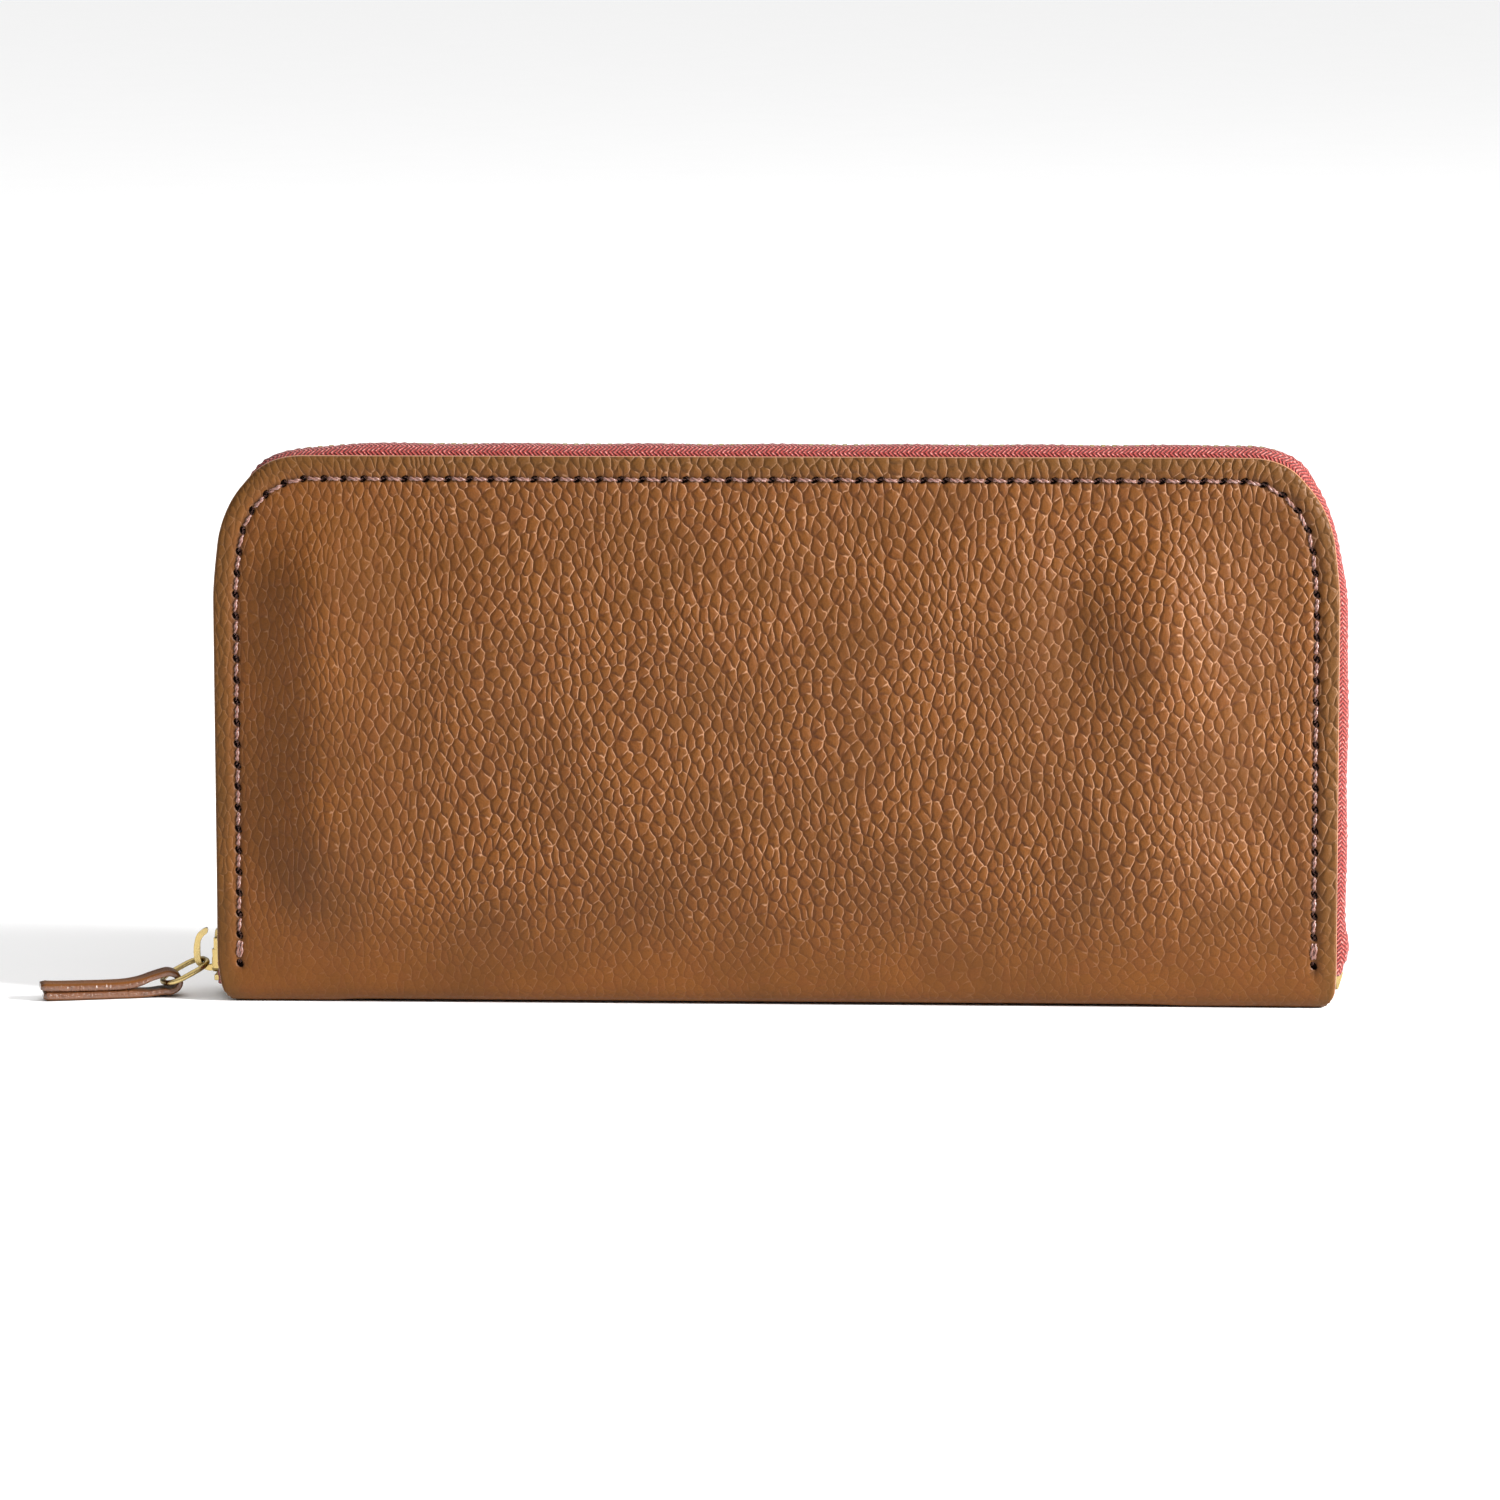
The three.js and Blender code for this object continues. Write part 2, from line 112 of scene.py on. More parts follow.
# The leather lies flat in a plane of x and v: v runs from the middle of the spine, round the
# fold and up the cover.
V_WALL = FOLD_Y + FOLD_R * math.pi / 2
V_TOP = V_WALL + TOP - FOLD_R

STITCH_INSET = 4.0
STITCH_PITCH = 3.84
STITCH_FIRST = 5.15  # the doubled stitch at each foot is longer
STITCH_FOOT_LEFT = 7.1  # heights of the lowest holes
STITCH_FOOT_RIGHT = 7.9


def wall_v(z):
    return V_WALL + z - FOLD_R


# ---------------------------------------------------------------- making meshes


class Shape:
    """Points, faces, flat coordinates and looks, gathered before the mesh is made."""

    def __init__(self):
        self.points = []
        self.faces = []
        self.flat = []
        self.looks = []

    def add(self, points, faces, flat=None, look=0):
        start = len(self.points)
        self.points.extend(tuple(p) for p in points)
        self.faces.extend(tuple(start + i for i in face) for face in faces)
        self.flat.extend(tuple(f) for f in ([(0.0, 0.0)] * len(points) if flat is None else flat))
        self.looks.extend([look] * len(faces))
        return start

    def add_rings(self, points, sides, flat=None, loop=False, look=0):
        """Faces between rings of points, closed by caps unless the rings go round in a loop."""
        rings = len(points) // sides
        faces = []
        for i in range(rings if loop else rings - 1):
            a, b = i * sides, (i + 1) % rings * sides
            for j in range(sides):
                k = (j + 1) % sides
                faces.append((a + j, a + k, b + k, b + j))
        if not loop:
            faces.append(tuple(range(sides))[::-1])
            faces.append(tuple((rings - 1) * sides + j for j in range(sides)))
        self.add(points, faces, flat, look)

    def band(self, first, second, look):
        """Faces between two closed rings of point numbers."""
        for i in range(len(first)):
            j = (i + 1) % len(first)
            self.faces.append((first[i], first[j], second[j], second[i]))
            self.looks.append(look)

    def make(self, name, materials, mirror=False, rim=None):
        side = -1 if mirror else 1
        points = np.array(self.points) * (MM, side * MM, MM)
        mesh = bpy.data.meshes.new(name)
        mesh.from_pydata(points.tolist(), [], self.faces)
        for material in materials:
            mesh.materials.append(material)
        layer = mesh.uv_layers.new(name="flat")
        corner = np.empty(len(mesh.loops), int)
        mesh.loops.foreach_get("vertex_index", corner)
        layer.data.foreach_set("uv", np.array(self.flat, np.float32)[corner].ravel())
        mesh.polygons.foreach_set("material_index", self.looks)
        if rim is not None:
            attribute = mesh.attributes.new("rim", "FLOAT", "POINT")
            attribute.data.foreach_set("value", np.array(rim, np.float32))
        work = bmesh.new()
        work.from_mesh(mesh)
        bmesh.ops.recalc_face_normals(work, faces=work.faces)
        work.to_mesh(mesh)
        work.free()
        mesh.polygons.foreach_set("use_smooth", [True] * len(mesh.polygons))
        piece = bpy.data.objects.new(name, mesh)
        bpy.context.scene.collection.objects.link(piece)
        return piece


def directions(line, loop=False):
    """Unit directions along a line, at each of its points."""
    if loop:
        return unit(np.roll(line, -1, 0) - np.roll(line, 1, 0))
    return unit(np.gradient(line, axis=0))


def normals_along(line, loop=False):
    """Unit normals on the right-hand side of a flat line."""
    across, up = directions(line, loop).T
    return np.stack([up, -across], -1)


def reach_along(line):
    """Distance from a line's start to each of its points."""
    return np.concatenate([[0], np.cumsum(np.linalg.norm(np.diff(line, axis=0), axis=1))])


def sides_along(path, loop=False):
    """Two unit vectors across a path at each of its points, without twisting."""
    tangent = directions(path, loop)
    normal = [unit(np.cross(tangent[0], (0.3, 0.2, 0.93)))]
    for direction in tangent[1:]:
        normal.append(unit(normal[-1] - direction * (normal[-1] @ direction)))
    return np.array(normal), np.cross(tangent, normal)


def tube(shape, path, radius, sides=10, loop=False, look=0):
    path = np.asarray(path, float)
    normal, binormal = sides_along(path, loop)
    radius = np.broadcast_to(radius, len(path))
    angle = np.arange(sides) * 2 * math.pi / sides
    rings = (
        path[:, None]
        + (radius[:, None] * np.cos(angle))[:, :, None] * normal[:, None]
        + (radius[:, None] * np.sin(angle))[:, :, None] * binormal[:, None]
    )
    flat = [(s, r * a) for s, r in zip(reach_along(path), radius) for a in angle]
    shape.add_rings(rings.reshape(-1, 3), sides, flat, loop, look)


def prism(shape, outline, low, high, place, look=0):
    """A flat outline of (a, b) points made solid from depth low to high."""
    points = [place(a, b, depth) for depth in (low, high) for a, b in outline]
    shape.add_rings(points, len(outline), [*outline, *outline], look=look)


def lying(a, b, depth):
    """Puts a prism's outline in the horizontal plane."""
    return (a, b, depth)


def upright(a, b, depth):
    """Puts a prism's outline in the plane of the covers."""
    return (a, depth, b)


def arc(centre, radius, start, end, steps):
    """Points on an arc, angles in degrees; radius may be a pair for an ellipse."""
    rx, ry = (radius, radius) if np.isscalar(radius) else radius
    angles = np.radians(np.linspace(start, end, steps))
    return [(centre[0] + rx * math.cos(t), centre[1] + ry * math.sin(t)) for t in angles]


def curve_through(points, steps):
    """A smooth line through points, with steps pieces between each two."""
    points = np.asarray(points, float)
    padded = np.vstack([2 * points[0] - points[1], points, 2 * points[-1] - points[-2]])
    line = []
    for i in range(len(points) - 1):
        p0, p1, p2, p3 = padded[i : i + 4]
        for t in np.arange(steps) / steps:
            square = 2 * p0 - 5 * p1 + 4 * p2 - p3
            cubic = 3 * p1 - p0 - 3 * p2 + p3
            line.append(0.5 * (2 * p1 + (p2 - p0) * t + square * t**2 + cubic * t**3))
    line.append(points[-1])
    return np.array(line)


def bevel(piece, width, segments=2):
    modifier = piece.modifiers.new("soft edges", "BEVEL")
    modifier.width = width * MM
    modifier.segments = segments
    modifier.limit_method = "ANGLE"
    modifier.angle_limit = math.radians(35)
    modifier.harden_normals = True
    return piece


def settle(piece, body, slot, *replaced):
    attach(piece, body)
    if replaced:
        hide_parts(*replaced)
    return piece


# ---------------------------------------------------------------- materials


def rgb(red, green, blue):
    """A display colour from 0 to 255 as a scene-linear one."""
    parts = [value / 255 for value in (red, green, blue)]
    return (*[p / 12.92 if p <= 0.04045 else ((p + 0.055) / 1.055) ** 2.4 for p in parts], 1.0)


class Look:
    """A material and short ways to add nodes to it. Inputs are numbers, colours or sockets."""

    def __init__(self, name, roughness=0.5, metallic=0.0, specular=0.5):
        self.material = bpy.data.materials.new(name)
        self.material.use_nodes = True
        self.tree = self.material.node_tree
        self.shader = self.tree.nodes["Principled BSDF"]
        self.set("Roughness", roughness)
        self.set("Metallic", metallic)
        self.set("Specular IOR Level", specular)

    def put(self, socket, value):
        if isinstance(value, bpy.types.NodeSocket):
            self.tree.links.new(value, socket)
        else:
            socket.default_value = value

    def set(self, name, value):
        self.put(self.shader.inputs[name], value)

    def node(self, kind, inputs, **settings):
        made = self.tree.nodes.new(kind)
        for key, value in settings.items():
            setattr(made, key, value)
        for key, value in inputs.items():
            self.put(made.inputs[key], value)
        return made

    def math(self, operation, a, b=0.0):
        return self.node("ShaderNodeMath", {0: a, 1: b}, operation=operation).outputs[0]

    def times(self, a, b):
        return self.math("MULTIPLY", a, b)

    def plus(self, a, b):
        return self.math("ADD", a, b)

    def minus(self, a, b):
        return self.math("SUBTRACT", a, b)

    def vectors(self, operation, a, b):
        return self.node("ShaderNodeVectorMath", {0: a, 1: b}, operation=operation).outputs[0]

    def colours(self, factor, a, b):
        return self.node("ShaderNodeMix", {0: factor, 6: a, 7: b}, data_type="RGBA").outputs[2]

    def step(self, value, low, high, start=0.0, end=1.0):
        inputs = {"Value": value, "From Min": low, "From Max": high, "To Min": start, "To Max": end}
        return self.node("ShaderNodeMapRange", inputs, interpolation_type="SMOOTHSTEP").outputs[0]

    def flat(self):
        return self.node("ShaderNodeUVMap", {}, uv_map="flat").outputs[0]

    def apart(self, vector):
        return self.node("ShaderNodeSeparateXYZ", {0: vector}).outputs

    def place(self):
        """The point on the piece at rest, in millimetres."""
        where = self.node("ShaderNodeTexCoord", {}).outputs["Object"]
        return self.node("ShaderNodeVectorMath", {0: where, "Scale": 1 / MM}, operation="SCALE").outputs[0]

    def stretch(self, vector, x, y, z=1.0):
        return self.vectors("MULTIPLY", vector, (x, y, z))

    def noise(self, where, scale, detail=2.0, rough=0.5, output=0):
        inputs = {"Vector": where, "Scale": scale, "Detail": detail, "Roughness": rough}
        return self.node("ShaderNodeTexNoise", inputs).outputs[output]

    def warped(self, where, scale, amount):
        """The same point moved by up to half of amount, in millimetres."""
        push = self.noise(where, scale, 1.0, output=1)
        push = self.vectors("SUBTRACT", push, (0.5, 0.5, 0.5))
        return self.vectors("ADD", where, self.stretch(push, amount, amount, 0.0))

    def turned(self, a, b):
        """The same pair along axes that slant by 45 degrees."""
        return self.times(self.plus(a, b), math.sqrt(0.5)), self.times(self.minus(a, b), math.sqrt(0.5))

    def pebbles(self, across, up):
        """Pebbles pointed above and below, from places counted in pebbles.

        Gives the distance to a pebble's border, the way from its middle and its own random number.
        """
        slanting, other = self.turned(across, up)
        where = self.node("ShaderNodeCombineXYZ", {0: slanting, 1: other}).outputs[0]
        where = self.warped(self.warped(where, 0.07, 3.4), 1.3, 0.4)
        inputs = {"Vector": where, "Scale": 1.0, "Randomness": 0.74}
        kind = "ShaderNodeTexVoronoi"
        border = self.node(kind, inputs, voronoi_dimensions="2D", feature="DISTANCE_TO_EDGE")
        cell = self.node(kind, inputs, voronoi_dimensions="2D", feature="F1")
        first, second, _ = self.apart(self.vectors("SUBTRACT", where, cell.outputs["Position"]))
        own = self.apart(cell.outputs["Color"])[0]
        return border.outputs["Distance"], *self.turned(first, second), own

    def bump(self, height, strength=1.0):
        """Height in millimetres."""
        made = self.node("ShaderNodeBump", {"Height": height, "Strength": strength, "Distance": MM})
        self.set("Normal", made.outputs[0])


def grain_place(look, x, v):
    """Places counted in pebbles: they are smaller towards the left edge and towards the foot."""
    places = []
    for value, pebble, denser_from, ease in ((x, 1.65, -50.0, 420.0), (v, 2.45, V_WALL + 25.0, 380.0)):
        past = look.math("MAXIMUM", look.minus(denser_from, value), 0.0)
        denser = look.math("DIVIDE", look.math("POWER", past, 2.0), ease)
        places.append(look.minus(look.math("DIVIDE", value, pebble), denser))
    return places


# The crease colour is a painted highlight along the right-hand borders of the pebbles.
def leather_look(name, dark, middle, crease, has_rim=False, grain=1.0, roughness=0.52):
    look = Look(name, specular=0.15)
    flat = look.flat()
    x, v, _ = look.apart(flat)
    border, away_x, away_v, own = look.pebbles(*grain_place(look, x, v))
    patches = look.noise(flat, 0.05, 3.0)
    fine = look.noise(flat, 3.0, 4.0, 0.6)
    dome = look.step(border, 0.0, 0.34)
    around = look.plus(look.math("POWER", away_x, 2.0), look.math("POWER", away_v, 2.0))
    puff = look.minus(1.0, look.math("MINIMUM", look.times(around, 2.0), 1.0))
    crease_line = look.step(border, 0.0, 0.13, 1.0, 0.0)
    valley = look.step(border, 0.0, 0.3, 1.0, 0.0)

    # The grain is pressed flatter towards the left edge and along the fold.
    strength = look.step(x, -97.0, -45.0, 0.4, 1.0)
    strength = look.times(strength, look.step(v, V_WALL - 2.0, V_WALL + 24.0, 0.12, 1.0))
    strength = look.times(strength, look.step(patches, 0.3, 0.62, 0.75, 1.1))

    height = look.times(dome, 0.1 * grain)
    height = look.plus(height, look.times(puff, 0.125 * grain))
    height = look.plus(height, look.times(fine, 0.07))
    look.bump(height, strength)

    tone = look.colours(look.step(patches, 0.3, 0.7), dark, middle)
    tone = look.colours(look.step(own, 0.3, 1.0, 0.0, 0.2), tone, rgb(96, 50, 24))
    tone = look.colours(look.step(fine, 0.4, 0.75, 0.0, 0.35), tone, rgb(66, 42, 15))
    # Painted shade: the valleys between pebbles are darkened on the pebbles' left and lower sides, as if lit
    # from the upper right.
    shade = look.times(valley, look.step(away_x, -0.3, 0.25, 0.42, 0.06))
    shade = look.plus(shade, look.times(valley, look.step(away_v, -0.4, 0.0, 0.28, 0.0)))
    tone = look.colours(look.times(shade, strength), tone, rgb(58, 28, 10))
    # Painted highlight: thin lighter lines in the crease colour along the pebbles' right-hand borders, as if
    # lit from the right; these lines are also a little glossier.
    shine = look.times(crease_line, look.step(away_x, 0.02, 0.34))
    shine = look.times(shine, look.step(look.noise(flat, 0.5, 2.0), 0.36, 0.6, 0.15, 0.72))
    tone = look.colours(look.times(shine, strength), tone, crease)
    if has_rim:
        rim = look.node("ShaderNodeAttribute", {}, attribute_name="rim").outputs["Fac"]
        tone = look.colours(look.step(rim, 0.6, 5.0, 0.35, 0.0), tone, rgb(70, 52, 20))
        # Painted shade in the sewn groove round the stitches, darkest close to the stitch line.
        groove = look.math("ABSOLUTE", look.minus(rim, STITCH_INSET))
        sewn = look.step(v, wall_v(STITCH_FOOT_LEFT) - 1.6, wall_v(STITCH_FOOT_LEFT) - 0.4)
        painted_seam_shade = look.times(look.step(groove, 0.3, 0.85, 0.4, 0.0), sewn)
        tone = look.colours(painted_seam_shade, tone, rgb(40, 22, 11))
    look.set("Base Color", tone)
    rough = look.step(look.noise(flat, 1.2, 3.0), 0.3, 0.7, roughness - 0.08, roughness + 0.1)
    look.set("Roughness", look.minus(rough, look.times(shine, 0.16)))
    return look.material


def edge_look():
    """The cut edge of the leather, painted and rubbed smooth."""
    look = Look("cut_edge", 0.35)
    where = look.place()
    tone = look.colours(look.noise(where, 0.8, 4.0), rgb(128, 84, 54), rgb(158, 110, 78))
    look.set("Base Color", tone)
    look.bump(look.times(look.noise(where, 2.5, 3.0), 0.08))
    return look.material


def hole_look():
    # The holes' walls and floors are painted near-black as painted shade inside the holes.
    look = Look("punched_hole", 0.9, specular=0.1)
    tone = look.noise(look.place(), 3.0, 2.0)
    look.set("Base Color", look.colours(tone, rgb(20, 9, 8), rgb(38, 20, 14)))
    return look.material


def thread_look():
    """Waxed two-ply thread, shiny on top of each ply."""
    look = Look("stitch_thread", 0.36, specular=0.7)
    flat = look.flat()
    fibres = look.noise(look.stretch(flat, 1.2, 14.0), 1.0, 3.0)
    tone = look.colours(look.step(fibres, 0.3, 0.7), rgb(74, 36, 26), rgb(140, 92, 78))
    look.set("Base Color", tone)
    look.set("Sheen Weight", 0.3)
    look.bump(look.times(fibres, 0.05))
    return look.material


def tape_look():
    """Woven zip tape: a herringbone of fine slanting ribs."""
    look = Look("zip_tape_cloth", 0.66, specular=0.2)
    flat = look.warped(look.flat(), 0.6, 0.25)
    along, across, _ = look.apart(flat)
    slant = look.math("PINGPONG", across, 1.1)
    phase = look.times(look.plus(along, slant), 2 * math.pi / 0.8)
    rib = look.step(look.math("SINE", phase), -0.9, 1.0)
    weft = look.step(look.math("SINE", look.times(across, 2 * math.pi / 0.42)), -1.0, 1.0)
    fuzz = look.noise(look.flat(), 4.0, 3.0, 0.7)
    # Painted shade: the cloth is darker in the grooves between the ribs.
    tone = look.colours(rib, rgb(72, 15, 15), rgb(137, 47, 41))
    tone = look.colours(look.step(fuzz, 0.4, 0.7, 0.0, 0.4), tone, rgb(170, 76, 68))
    # Painted highlight: small pale glints on the tops of the ribs.
    painted_glint = look.times(look.step(look.noise(flat, 2.2, 2.0), 0.52, 0.62), rib)
    tone = look.colours(look.times(painted_glint, 0.5), tone, rgb(222, 150, 140))
    look.set("Base Color", tone)
    look.set("Sheen Weight", 0.12)
    height = look.times(rib, 0.2)
    height = look.plus(height, look.times(weft, 0.03))
    look.bump(look.plus(height, look.times(fuzz, 0.04)))
    return look.material


def lining_look(name, dark, light):
    """Plain cotton lining with a visible weave."""
    look = Look(name, 0.85, specular=0.2)
    flat = look.flat()
    along, across, _ = look.apart(flat)
    warp = look.math("SINE", look.times(along, 2 * math.pi / 0.55))
    weft = look.math("SINE", look.times(across, 2 * math.pi / 0.5))
    weave = look.step(look.times(warp, weft), -0.8, 0.8)
    slub = look.noise(look.stretch(flat, 0.25, 2.5), 1.0, 3.0)
    fade = look.noise(flat, 0.04, 3.0)
    tone = look.colours(look.step(weave, 0.0, 1.0, 0.15, 0.85), dark, light)
    tone = look.colours(look.step(slub, 0.45, 0.75, 0.0, 0.35), tone, rgb(214, 182, 148))
    look.set("Base Color", look.colours(look.step(fade, 0.4, 0.7, 0.0, 0.3), tone, dark))
    look.set("Sheen Weight", 0.25)
    look.bump(look.plus(look.times(weave, 0.06), look.times(slub, 0.08)))
    return look.material


def gold_look(name="gold_plate", roughness=0.2):
    """Pale gold plating, with soft scratches and a duller bloom in places."""
    look = Look(name, roughness, 1.0)
    where = look.place()
    bloom = look.noise(where, 0.5, 3.0)
    scratches = look.noise(look.stretch(where, 6.0, 0.7, 1.4), 1.0, 3.0)
    tone = look.colours(bloom, rgb(164, 138, 82), rgb(204, 184, 130))
    look.set("Base Color", look.colours(look.step(scratches, 0.5, 0.8, 0.0, 0.3), tone, rgb(120, 94, 50)))
    look.set("Roughness", look.step(bloom, 0.3, 0.7, roughness - 0.05, roughness + 0.15))
    look.bump(look.times(scratches, 0.02))
    return look.material


# Dark, middle and crease colours; the crease colour is a painted highlight on the pebbles' right-hand
# borders.
BROWN = (rgb(87, 50, 15), rgb(101, 58, 18), rgb(168, 126, 96))
outer_leather = leather_look("outer_leather", *BROWN, has_rim=True)
strap_leather = leather_look("strap_leather", *BROWN, grain=0.6, roughness=0.34)
# The third colour is again a painted highlight on the pebbles' right-hand borders.
INNER_BROWN = (rgb(88, 54, 24), rgb(104, 66, 32), rgb(150, 108, 70))
inner_leather = leather_look("inner_leather", *INNER_BROWN, grain=0.5)
flesh_side = lining_look("leather_flesh_side", rgb(150, 112, 82), rgb(176, 136, 104))
cut_edge = edge_look()
punched_hole = hole_look()
stitch_thread = thread_look()
zip_cloth = tape_look()
cotton = lining_look("cotton_lining", rgb(156, 118, 84), rgb(196, 160, 124))
gold = gold_look()
tooth_gold = gold_look("gold_teeth", 0.28)


# ---------------------------------------------------------------- the leather skins


def left_half(v):
    """Distance from the middle to the leather's left edge: its foot corner is cut away."""
    return np.interp(v, [0, FOLD_Y, 8.6, 9.94, 12.5, 16.2], [96.6, 97.0, 98.3, 99.0, 99.6, HALF])


def right_half(v):
    return np.interp(v, [0, FOLD_Y, 8.3, 9.6, 11.2, 14.2], [97.6, 98.0, 98.7, 99.4, 99.8, HALF])


def rim_distance(x, v):
    """Distance inwards from the three sewn edges."""
    half = np.where(x < 0, left_half(v), right_half(v))
    side = half - np.abs(x)
    top = V_TOP - v
    into_side = np.maximum(CORNER - side, 0)
    into_top = np.maximum(CORNER - top, 0)
    rounded = CORNER - np.hypot(into_side, into_top)
    return np.where((into_side > 0) & (into_top > 0), rounded, np.minimum(side, top))


def swelling(x, z):
    side = smoothstep(HALF - np.abs(x), RIM, RIM + RAMP)
    foot = smoothstep(z, BELLY_FROM, BELLY_FROM + RAMP)
    return side * foot * smoothstep(TOP - z, RIM, RIM + RAMP)


def dents(x, z):
    """The leather's uneven swell: it rises fast beside the left seam and has a hollow at the right."""
    left = HALF + x
    height = smoothstep(z, 8, 34) * smoothstep(-z, 4 - TOP, 24 - TOP)
    early = 3.9 * (smoothstep(left, 4.6, 21) - smoothstep(left, 9, 36)) * height
    along = ((z - 68) / 17) ** 2
    ridge = 0.9 * np.exp(-(((x - 70) / 7.5) ** 2) - along)
    hollow = 1.5 * np.exp(-(((x - 53) / 6.5) ** 2) - along)
    waves = 0.14 * np.sin(x / 9 + z / 23) * np.sin(z / 11 - x / 31 + 1) + 0.08 * np.sin(x / 5.5 - z / 8)
    inside = smoothstep(HALF - np.abs(x), 5, 14) * smoothstep(TOP - z, 5, 14) * smoothstep(z, 4, 16)
    return early + (ridge - hollow + waves) * inside


def spine_arch(x):
    """The spine lifts a little off the ground between its ends."""
    return 0.35 * smoothstep(x, -80, -74) * smoothstep(-x, -74, -66)


def pinched(x, z):
    """The sides lean in a little below the round top corners."""
    reach = smoothstep(z, 72, 90) * (1 - smoothstep(z, 93, 99)) * smoothstep(np.abs(x), 66, 88)
    return x - np.sign(x) * 1.4 * reach


def skin_point(x, v, inward, back=False):
    """A point at flat place (x, v) and at a depth under the leather's outer face.

    The back half's left top corner hangs a little lower than the front one.
    """
    x, v = np.asarray(x, float), np.asarray(v, float)
    angle = np.clip((v - FOLD_Y) / FOLD_R, 0, math.pi / 2)
    radius = FOLD_R - inward
    up = np.maximum(v - V_WALL, 0)
    z = FOLD_R + up
    y = np.minimum(v, FOLD_Y) + radius * np.sin(angle) + (BELLY - EDGE) * swelling(x, z) + dents(x, z)
    lift = spine_arch(x) * smoothstep(v, V_WALL, FOLD_Y - 1)
    hang = 1.3 * smoothstep(z, 82, TOP) * smoothstep(-x, 56, 82) if back else 0.0
    return np.stack([pinched(x, z), -y, FOLD_R - radius * np.cos(angle) + up + lift - hang], -1)


def inset_line(distance, step):
    """Flat places along the three sewn edges, from the right foot round to the left one."""
    side_top = V_TOP - CORNER
    radius = CORNER - distance
    rows = np.linspace(0, side_top, int(side_top / step) + 1)
    right = [(right_half(v) - distance, v) for v in rows[:-1]]
    turn = max(3, int(radius * math.pi / 2 / step) + 1)
    first = arc((HALF - CORNER, side_top), radius, 0, 90, turn)
    across = np.linspace(HALF - CORNER, CORNER - HALF, int(2 * (HALF - CORNER) / step) + 1)[1:-1]
    second = arc((CORNER - HALF, side_top), radius, 90, 180, turn)
    left = [(-left_half(v) + distance, v) for v in rows[:-1][::-1]]
    return right + first + [(x, V_TOP - distance) for x in across] + second + left


def stitch_path():
    """Holes' places and directions along the seam, from the left foot round to the right one."""
    radius = CORNER - STITCH_INSET
    side_top = V_TOP - CORNER
    left_length = side_top - wall_v(STITCH_FOOT_LEFT)
    right_length = side_top - wall_v(STITCH_FOOT_RIGHT)
    bend = radius * math.pi / 2
    across = 2 * (HALF - CORNER)
    total = left_length + 2 * bend + across + right_length
    count = round((total - 2 * STITCH_FIRST) / STITCH_PITCH)
    inner = np.linspace(STITCH_FIRST, total - STITCH_FIRST, count + 1)
    holes = []
    for s in [0, *inner, total]:
        if s < left_length:
            holes.append((STITCH_INSET - HALF, wall_v(STITCH_FOOT_LEFT) + s, 90.0))
            continue
        s -= left_length
        if s < bend:
            turn = 180 - math.degrees(s / radius)
            holes.append((*arc((CORNER - HALF, side_top), radius, turn, turn, 1)[0], turn - 90))
            continue
        s -= bend
        if s < across:
            holes.append((CORNER - HALF + s, V_TOP - STITCH_INSET, 0.0))
            continue
        s -= across
        if s < bend:
            turn = 90 - math.degrees(s / radius)
            holes.append((*arc((HALF - CORNER, side_top), radius, turn, turn, 1)[0], turn - 90))
            continue
        holes.append((HALF - STITCH_INSET, side_top - (s - bend), -90.0))
    return holes


holes = stitch_path()
HOLE_SIDES = 8
HOLE_HALF = (0.86, 0.56)
HOLE_SLANT = 32.0
HOLE_DEPTH = 1.1


def hole_ring(hole, grow, sides):
    x, v, heading = hole
    turn = math.radians(heading + HOLE_SLANT)
    cos, sin = math.cos(turn), math.sin(turn)
    oval = arc((0, 0), (HOLE_HALF[0] + grow, HOLE_HALF[1] + grow), 0, 360 - 360 / sides, sides)
    return [(x + a * cos - b * sin, v + a * sin + b * cos) for a, b in oval]


def surface_relief(x, v):
    """How far the outer face lies under its plain form: the rounded edge and the sewn groove."""
    distance = rim_distance(x, v)
    roundness = 0.5
    short = np.clip(roundness - distance, 0, roundness)
    edge = roundness - np.sqrt(roundness**2 - short**2)
    sewn = smoothstep(v, wall_v(STITCH_FOOT_LEFT) - 1.8, wall_v(STITCH_FOOT_LEFT) - 0.2)
    groove = 0.32 * np.exp(-(((distance - STITCH_INSET) / 0.8) ** 2)) * sewn
    pull = -0.16 * np.exp(-(((distance - 2.1) / 0.9) ** 2)) * sewn
    return edge + groove + pull


def triangulated(outline, loops, free):
    """Flat triangles inside an outline. Loops stay as edges, and their insides stay open."""
    points = list(outline)
    loop_of = [-1] * len(points)
    edges = []
    for number, loop in enumerate(loops):
        start = len(points)
        points.extend(loop)
        loop_of.extend([number] * len(loop))
        edges.extend((start + i, start + (i + 1) % len(loop)) for i in range(len(loop)))
    points.extend(free)
    loop_of.extend([-1] * len(free))
    points = [Vector(p) for p in points]
    inside_faces, gap = 1, 1e-6
    made = delaunay_2d_cdt(points, edges, [list(range(len(outline)))], inside_faces, gap, True)
    places, _, triangles, sources = made[:4]
    owner = [loop_of[s[0]] if s else -1 for s in sources]
    index_of = {source: i for i, found in enumerate(sources) for source in found}
    kept = [t for t in triangles if not (owner[t[0]] >= 0 and owner[t[0]] == owner[t[1]] == owner[t[2]])]
    return np.array([tuple(p) for p in places]), kept, index_of


def hex_grid(low, high, pitch):
    places = []
    for row, v in enumerate(np.arange(low[1], high[1], pitch * 0.866)):
        offset = pitch / 2 if row % 2 else 0
        places.extend((x + offset, v) for x in np.arange(low[0], high[0], pitch))
    return np.array(places)


